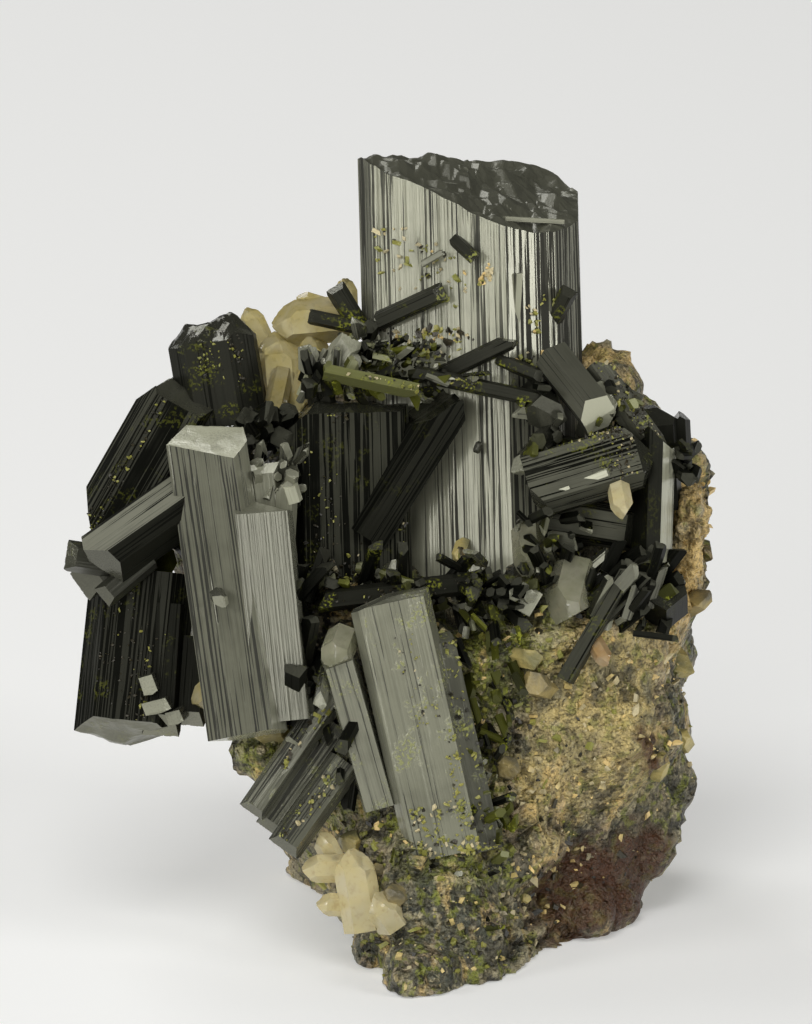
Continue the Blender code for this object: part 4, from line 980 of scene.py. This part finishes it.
def rock_rings(rows, columns):
    """Rings of the rock's skin, closer together in front, with its fine grain, and pressed flat
    on the broken face: a point below it is raised to it and drawn inwards by its depth. Also
    the height of the fine grain at each point."""
    turn = np.linspace(0, 2 * np.pi, columns, endpoint=False)
    turn = turn + 0.45 * np.cos(turn)
    heights = np.linspace(min(ROCK_LEVELS), ROCK_TOP - 0.15, rows)
    heights, turn = np.meshgrid(heights, turn, indexing="ij")
    places, outward = rock_places(heights, turn)
    relief = rock_grain(places)
    places = places + outward * relief[..., None]
    places[..., 1] += HOLLOW * behind_tower(places)
    standing = to_row_frame(places) / MM
    depth = np.maximum(-standing[..., 2], 0)[..., None]
    middle = (-2.0, 2.0)
    inward = np.clip(1 - depth * 0.09, 0.02, 1)
    standing[..., :2] = middle + (standing[..., :2] - middle) * inward
    standing[..., 2] = np.maximum(standing[..., 2], 0)
    return standing, relief


def lump_rings(middle, half_sizes, rows=44, columns=64):
    """Rings of a rough round lump, a ball stretched to its half sizes, with creased bumps, and
    the height of its fine grain at each point."""
    up = np.linspace(0, np.pi, rows)[1:-1, None]
    turn = np.linspace(0, 2 * np.pi, columns, endpoint=False)
    outward = np.stack(np.broadcast_arrays(
        np.sin(up) * np.cos(turn), np.sin(up) * np.sin(turn), -np.cos(up)), axis=-1)
    places = np.array(middle) + outward * half_sizes
    places = places + outward * 0.7 * creased(places, BUMPS)[..., None]
    relief = rock_grain(places)
    return places + outward * relief[..., None], relief


def rock_arrays(rings, relief):
    """Points and faces of the rock's skin through rings, with each face's height in the fine
    grain, from 0 in a crease to 1 on a bump, as its look."""
    points, quads, triangles = close_rings(rings)
    part = np.clip((relief.ravel() + 0.5) / 1.2, 0, 1)
    looks = np.concatenate([part[quads[:, 0]], np.full(len(triangles), 0.5)])
    return points, quads, triangles, np.repeat(looks[:, None], 4, axis=1), points


def rock_prisms():
    """The larger grains that are fused to the front of the rock, at the CAD's own places."""
    chance = np.random.default_rng(GRAIN_SEED)
    rows, columns = 28, 51
    heights = np.linspace(min(ROCK_LEVELS), ROCK_TOP - 0.4, rows)
    turns = np.linspace(0, 2 * np.pi, columns, endpoint=False)
    surface, _ = rock_places(*np.meshgrid(heights, turns, indexing="ij"))
    grains = []
    for _ in range(GRAIN_COUNT):
        row = chance.integers(2, rows - 8)
        column = int(columns * chance.uniform(0.6, 1.05)) % columns
        foot = surface[row, column]
        lean = np.array([chance.normal(0.2, 0.6), -1, chance.normal(0.2, 0.6)])
        width = chance.uniform(1.4, 3.4)
        tip = foot + lean / np.linalg.norm(lean) * width * chance.uniform(0.7, 1.3)
        foot = foot - lean / np.linalg.norm(lean) * 2.0
        ends = chisel(chance.uniform(0, 360)) if chance.random() < 0.5 else point(width)
        corners = flat_six(width, width * 0.8) if chance.random() < 0.5 else hexagon(width)
        if to_row_frame(foot)[2] > 2 * MM:
            grains.append(Prism(tuple(foot), tuple(tip), corners, ends, (1.0, 0.2, 0.3)))
    return grains


def scattered(shape, places, upward, widths, lengths, chance):
    """Copies of a small shape: each is stretched to its width and length, spun about its own
    axis, stood along its own upward direction, and set at its place."""
    points, quads, triangles = shape
    upward = upward / np.linalg.norm(upward, axis=1, keepdims=True)
    side = np.cross(upward, chance.normal(size=upward.shape))
    side /= np.linalg.norm(side, axis=1, keepdims=True)
    axes = np.stack([side, np.cross(upward, side), upward], axis=1)
    sizes = np.stack([widths, widths * chance.uniform(0.5, 1.0, len(widths)), lengths], axis=1)
    every = np.einsum("npi,nij->npj", points[None] * sizes[:, None], axes) + places[:, None]
    start = np.arange(len(places))[:, None, None] * len(points)
    return (every.reshape(-1, 3), (quads[None] + start).reshape(-1, 4),
            (triangles[None] + start).reshape(-1, 3))


def grain_shape():
    """A small broken crystal one unit wide and long: an uneven four-sided ring at its foot and
    its shoulder, closed by a slanting top."""
    turn = np.radians((0, 70, 170, 265))
    ring = np.stack([0.5 * np.cos(turn), 0.5 * np.sin(turn)], axis=-1)
    foot = np.concatenate([ring, np.full((4, 1), -0.4)], axis=1)
    shoulder = np.concatenate([0.92 * ring, 0.7 + 0.7 * ring[:, :1]], axis=1)
    return close_rings(np.stack([foot, shoulder]))


def fleck_places(prism, side, along, up, count, chance):
    """Random places on one side of a crystal, in clusters between two shares of the side's width
    and two of the crystal's length but below its end, and the direction out of that side."""
    foot, axes, length = prism_axes(prism)
    start = np.array(prism.corners[side], float)
    run = np.array(prism.corners[(side + 1) % len(prism.corners)], float) - start
    cluster = chance.integers(0, 2 + count // 14, count)
    across, rise = [np.clip(chance.random(2 + count // 14)[cluster]
                            + chance.normal(0, 0.13, count), 0.01, 0.99) for _ in range(2)]
    flat = start + (along[0] + (along[1] - along[0]) * across)[:, None] * run
    low, high = end_heights(prism, length, flat[:, 0], flat[:, 1])
    z = (up[0] + (up[1] - up[0]) * rise) * length
    z = np.where((z > high - 0.2) | (z < low), low + rise * (high - low), z)
    out = np.array([run[1], -run[0], 0.0]) / np.linalg.norm(run)
    places = np.concatenate([flat, z[:, None]], axis=1) @ axes + foot
    return places, np.tile(out @ axes, (count, 1))


def loose_grains(count, chance):
    """Places and outward directions of loose grains on the rock, most of them in front, with
    their widths and their kinds. A grain's kind goes by the stain that it lies on."""
    front = chance.random(count) < 0.75
    turn = np.where(front, chance.normal(1.5 * np.pi, 0.85, count),
                    chance.uniform(0, 2 * np.pi, count))
    places, outward = rock_places(chance.uniform(-2, 74, count), turn)
    places = places + outward * rock_grain(places)[..., None]
    keep = (to_row_frame(places)[:, 2] > 1.2 * MM) & (behind_tower(places) < 0.3)
    places, outward = places[keep], outward[keep]
    reach = np.array([np.linalg.norm(places - middle, axis=1) / radius
                      for _, middle, radius, _ in STAINS])
    mixes = np.array([CRUMB_MIX[stain[0]] for stain in STAINS])
    mix = mixes[reach.argmin(axis=0)].cumsum(axis=1)
    kind = (mix < chance.random(len(places))[:, None]).sum(axis=1)
    return places, outward, 0.22 + 0.85 * chance.random(len(places)) ** 3, kind


def face_grains(chance):
    """Places, outward directions, widths and kinds of the grains on crystal faces."""
    groups = []
    for name, crystal, side, along, up, number, small, large, shares in FLECKS:
        places, outward = fleck_places(EPIDOTE[name][1][crystal], side, along, up, number, chance)
        widths = small + (large - small) * chance.random(number) ** 2
        groups.append((places, outward, widths, chance.choice(4, number, p=shares)))
    return [np.concatenate(part) for part in zip(*groups)]


# Look of green, dark, pale, ochre and plain grains, and of the fused grains in turn, of which
# every other one is of the rock's own stuff
GRAIN_LOOKS = np.array([(0.8, 0, 0, 0), (0.05, 0.95, 0, 0), (0, 0, 0.8, 0), (0, 0, 0, 0.6),
                        (0, 0, 0, 0)])
FUSED_LOOKS = np.array([(0.5, 0.5, 0.5, 1), (0.03, 0.5, 0, 0), (0.5, 0.5, 0.5, 1),
                        (0.3, 0.1, 0, 0)])


def small_crystal(jumble, chance):
    """One small crystal of a jumble and its finish. Some have a painted silver sheen that stands
    for caught light, some are coated with green, and the rest are near black."""
    middle, half, _, narrow, wide, lean, painted_sheen, dust = jumble
    foot = np.array(middle) + chance.uniform(-1, 1, 3) * half
    way = np.array(lean) + chance.normal(0, 0.4, 3)
    width = chance.uniform(narrow, wide)
    length = min(width * chance.uniform(1.2, 4.0), 1.1 * max(half))
    tip = foot + way / np.linalg.norm(way) * length
    if chance.random() < 0.5:
        corners = flat_six(width, 0.8 * width)
    else:
        corners = board(width, 0.5 * width)
    ends = chisel(chance.uniform(0, 360), chance.uniform(20, 50))
    bright, green = chance.random(2) < (painted_sheen, 0.45 * dust)
    # A bright crystal gets a painted silver sheen, standing for reflected light, on its sides and
    # end
    sides = (0.55 if bright else 0.03) * chance.uniform(0, 1.2, len(corners)) ** 2
    finish = Finish(sides, 0.5 if bright else 0.1,
                    chance.uniform(1.0, 1.5) if green else 0.5 * dust, 0.9,
                    0.1 if bright else 0.9, 0.02, 0.1, 0.2 if bright else 0.9)
    return Prism(foot, tip, corners, ends, chance.normal(0, 1, 3)), finish


def lit(name, azimuth, elevation, distance, size, energy):
    """A square soft light of that size in metres and power in watts, turned to the middle of the
    specimen's height. Azimuth 0 is the display side, and turns to its right; elevation is above
    the floor."""
    light = bpy.data.lights.new(name, "AREA")
    light.shape, light.size, light.energy = "SQUARE", size, energy
    thing = bpy.data.objects.new(name, light)
    bpy.context.scene.collection.objects.link(thing)
    a, e = math.radians(azimuth), math.radians(elevation)
    away = Vector((math.sin(a) * math.cos(e), -math.cos(a) * math.cos(e), math.sin(e)))
    thing.location = Vector((0, 0, MIDDLE_HEIGHT)) + away * distance
    thing.rotation_euler = away.to_track_quat("Z", "Y").to_euler()


class SPECIMEN_OT_epidote(bpy.types.Operator):
    """Build the epidote prisms, one piece for each group that grew together"""

    bl_idname = "specimen.epidote"
    bl_label = "Epidote prisms"

    def execute(self, context):
        settings = context.scene.specimen_epidote
        materials = [epidote_material("lined_epidote", settings, 0.5, 0.15),
                     epidote_material("etched_epidote", settings, 0.05, 0.3)]
        for number, (name, (finishes, prisms)) in enumerate(EPIDOTE.items()):
            parts = []
            for n, prism in enumerate(prisms):
                finish = finishes[min(n, len(finishes) - 1)]
                # An end with pyramids of a millimetre or more needs more rings
                parts.append(crystal_arrays(prism, finish, settings.line_width / MM,
                                            100 * number + n, 60 if finish.rough > 1 else 10))
            make_piece("lined_epidote_" + name, join_arrays(parts), materials,
                       ["epidote_" + name])
        return {"FINISHED"}


class SPECIMEN_OT_jumbles(bpy.types.Operator):
    """Build the small epidote crystals that fill the gaps between the large ones"""

    bl_idname = "specimen.jumbles"
    bl_label = "Small epidote crystals"

    def execute(self, context):
        materials = [bpy.data.materials[name] for name in ("lined_epidote", "etched_epidote")]
        chance = np.random.default_rng(GRAIN_SEED + 2)
        parts = []
        for jumble in JUMBLES:
            for _ in range(jumble[2]):
                prism, finish = small_crystal(jumble, chance)
                parts.append(crystal_arrays(prism, finish, 0.35, SMALL_SEED + len(parts), 3))
        for sides, end, prism in SINGLES:
            parts.append(crystal_arrays(prism, Finish(sides, end, 0.0, 0.4, 0.2, 0.02, 0.1), 0.25,
                                        SMALL_SEED + len(parts), 4))
        make_piece("small_epidote", join_arrays(parts), materials)
        return {"FINISHED"}


class SPECIMEN_OT_quartz(bpy.types.Operator):
    """Build the clear and milky quartz crystals"""

    bl_idname = "specimen.quartz"
    bl_label = "Quartz crystals"

    def execute(self, context):
        settings = context.scene.specimen_quartz
        materials = {kind: quartz_material(kind + "_quartz", getattr(settings, kind), clearness,
                                           linear(stain))
                     for kind, (clearness, stain) in QUARTZ_KINDS.items()}
        for number, (name, (kind, prisms)) in enumerate(QUARTZ.items()):
            arrays = join_arrays([
                crystal_arrays(prism, Finish(0, 0, groove=0.0), 0.35,
                               QUARTZ_SEED + 100 * number + n, 12)
                for n, prism in enumerate(prisms)])
            make_piece("crystal_quartz_" + name, arrays[:3], [materials[kind]],
                       ["quartz_" + name])
        return {"FINISHED"}


class SPECIMEN_OT_rock(bpy.types.Operator):
    """Build the quartz rock and its lumps"""

    bl_idname = "specimen.rock"
    bl_label = "Rock"

    def execute(self, context):
        settings = context.scene.specimen_rock
        material = rock_material(settings)
        skin = rock_arrays(*rock_rings(settings.rows, settings.columns))
        make_piece("rock", skin[:4], [material], ["quartz_matrix"], standing=True)
        lumps = join_arrays([rock_arrays(*lump_rings(*lump)) for lump in ROCK_LUMPS])
        make_piece("rock_lumps", lumps[:4], [material])
        return {"FINISHED"}


class SPECIMEN_OT_grains(bpy.types.Operator):
    """Set the larger grains of epidote and quartz in the rock, and scatter the small ones"""

    bl_idname = "specimen.grains"
    bl_label = "Grains"

    def execute(self, context):
        settings = context.scene.specimen_rock
        material = grain_material(settings, context.scene.specimen_epidote)
        parts = [crystal_arrays(prism, Finish(0, 0, groove=0.06, rough=0.1), 0.3, FUSED_SEED + n,
                                5) for n, prism in enumerate(rock_prisms())]
        for n, part in enumerate(parts):
            part[3][:] = FUSED_LOOKS[n % len(FUSED_LOOKS)]
        make_piece("fused_grains", join_arrays(parts)[:4],
                   [material, bpy.data.materials["weathered_quartz_rock"]])
        chance = np.random.default_rng(GRAIN_SEED + 1)
        groups = {"grains": loose_grains(settings.crumbs, chance), "flecks": face_grains(chance)}
        shape = grain_shape()
        for name, (places, outward, widths, kind) in groups.items():
            lengths = widths * chance.uniform(0.4, 1.3, len(places))
            upward = outward + chance.normal(0, 0.7, outward.shape)
            arrays = scattered(shape, places, upward, widths, lengths, chance)
            looks = [np.repeat(GRAIN_LOOKS[kind], len(faces), axis=0) for faces in shape[1:]]
            make_piece(name, (*arrays, np.concatenate(looks)), [material])
        return {"FINISHED"}


# The soft lights: azimuth and elevation, distance and size in metres, and power in watts
LIGHTS = {
    "key": (-21, 15, 1.7, 0.8, 8),
    "left": (-63, 26, 1.4, 0.45, 4.5),
    "right": (62, 22, 1.4, 0.5, 6.0),
    "top": (-12, 58, 1.5, 0.7, 8),
    "back": (215, 45, 1.5, 0.8, 7),
}
# Radius of the floor in metres, how much it and the world shine, and the camera's height in the
# leaning frame in mm
FLOOR_RADIUS = 9
FLOOR_GLOW = 0.31
WORLD_GLOW = 0.045
CAMERA_HEIGHT = 57.12


class SPECIMEN_OT_stage(bpy.types.Operator):
    """Set the pale floor, the soft lights and the camera at the display side"""

    bl_idname = "specimen.stage"
    bl_label = "Stage"

    def execute(self, context):
        settings = context.scene.specimen_stage
        scene = context.scene
        mesh = bpy.data.meshes.new("floor")
        turn = np.linspace(0, 2 * np.pi, 64, endpoint=False)
        # A hair below the specimen's broken face
        mesh.from_pydata(np.stack([FLOOR_RADIUS * np.cos(turn), FLOOR_RADIUS * np.sin(turn),
                                   np.full(64, -0.0001)], axis=-1), [], [list(range(64))])
        floor = bpy.data.objects.new("floor", mesh)
        scene.collection.objects.link(floor)
        paper, tree, _ = start_material("floor_paper")
        # Matt white paper that is lit evenly from below as well, so it stays pale
        shader = add_node(tree, "BsdfPrincipled", {
            "Base Color": settings.floor, "Roughness": 0.9,
            "Emission Color": settings.floor, "Emission Strength": FLOOR_GLOW})[0]
        add_node(tree, "OutputMaterial", {0: shader})
        mesh.materials.append(paper)
        for name, values in LIGHTS.items():
            lit(name, *values)
        world = bpy.data.worlds.new("studio")
        world.use_nodes = True
        world.node_tree.nodes["Background"].inputs[0].default_value = linear("e8e8e6")
        world.node_tree.nodes["Background"].inputs[1].default_value = WORLD_GLOW
        scene.world = world
        scene.view_settings.view_transform = "Standard"
        camera = bpy.data.cameras.new("camera")
        camera.sensor_width = 36.0
        camera.lens = camera.sensor_width * settings.distance / settings.field
        eye = bpy.data.objects.new("camera", camera)
        scene.collection.objects.link(eye)
        rest = Vector((REST_X, REST_Y, ground_z(REST_Y))) * MM
        leaning = Matrix.Rotation(-LEAN, 4, "X") @ Matrix.Translation(-rest)
        place = Matrix.Translation((0, -settings.distance, CAMERA_HEIGHT * MM))
        eye.matrix_world = leaning @ place @ Matrix.Rotation(math.radians(90), 4, "X")
        scene.camera = eye
        return {"FINISHED"}


OPERATORS = (SPECIMEN_OT_epidote, SPECIMEN_OT_jumbles, SPECIMEN_OT_quartz, SPECIMEN_OT_rock,
             SPECIMEN_OT_grains, SPECIMEN_OT_stage)
SETTINGS = {"specimen_epidote": EpidoteSettings, "specimen_quartz": QuartzSettings,
            "specimen_rock": RockSettings, "specimen_stage": StageSettings}


class SPECIMEN_PT_panel(bpy.types.Panel):
    """Lists the specimen's pieces and their settings"""

    bl_label = "Epidote on Quartz"
    bl_idname = "SPECIMEN_PT_panel"
    bl_space_type = "VIEW_3D"
    bl_region_type = "UI"
    bl_category = "Specimen"

    def draw(self, context):
        for operator in OPERATORS:
            self.layout.operator(operator.bl_idname)
        for group, kind in SETTINGS.items():
            box = self.layout.box()
            box.label(text=kind.__doc__)
            for name in kind.__annotations__:
                box.prop(getattr(context.scene, group), name)


def register():
    for kind in (*SETTINGS.values(), *OPERATORS, SPECIMEN_PT_panel):
        bpy.utils.register_class(kind)
    for name, kind in SETTINGS.items():
        setattr(bpy.types.Scene, name, PointerProperty(type=kind))


def unregister():
    for name in SETTINGS:
        delattr(bpy.types.Scene, name)
    for kind in (SPECIMEN_PT_panel, *reversed(OPERATORS), *reversed(SETTINGS.values())):
        bpy.utils.unregister_class(kind)


def main():
    """Registers the add-on, and builds every piece and the stage."""
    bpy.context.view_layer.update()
    register()
    bpy.ops.specimen.epidote()
    bpy.ops.specimen.jumbles()
    bpy.ops.specimen.quartz()
    bpy.ops.specimen.rock()
    bpy.ops.specimen.grains()
    bpy.ops.specimen.stage()


if __name__ == "__main__":
    main()
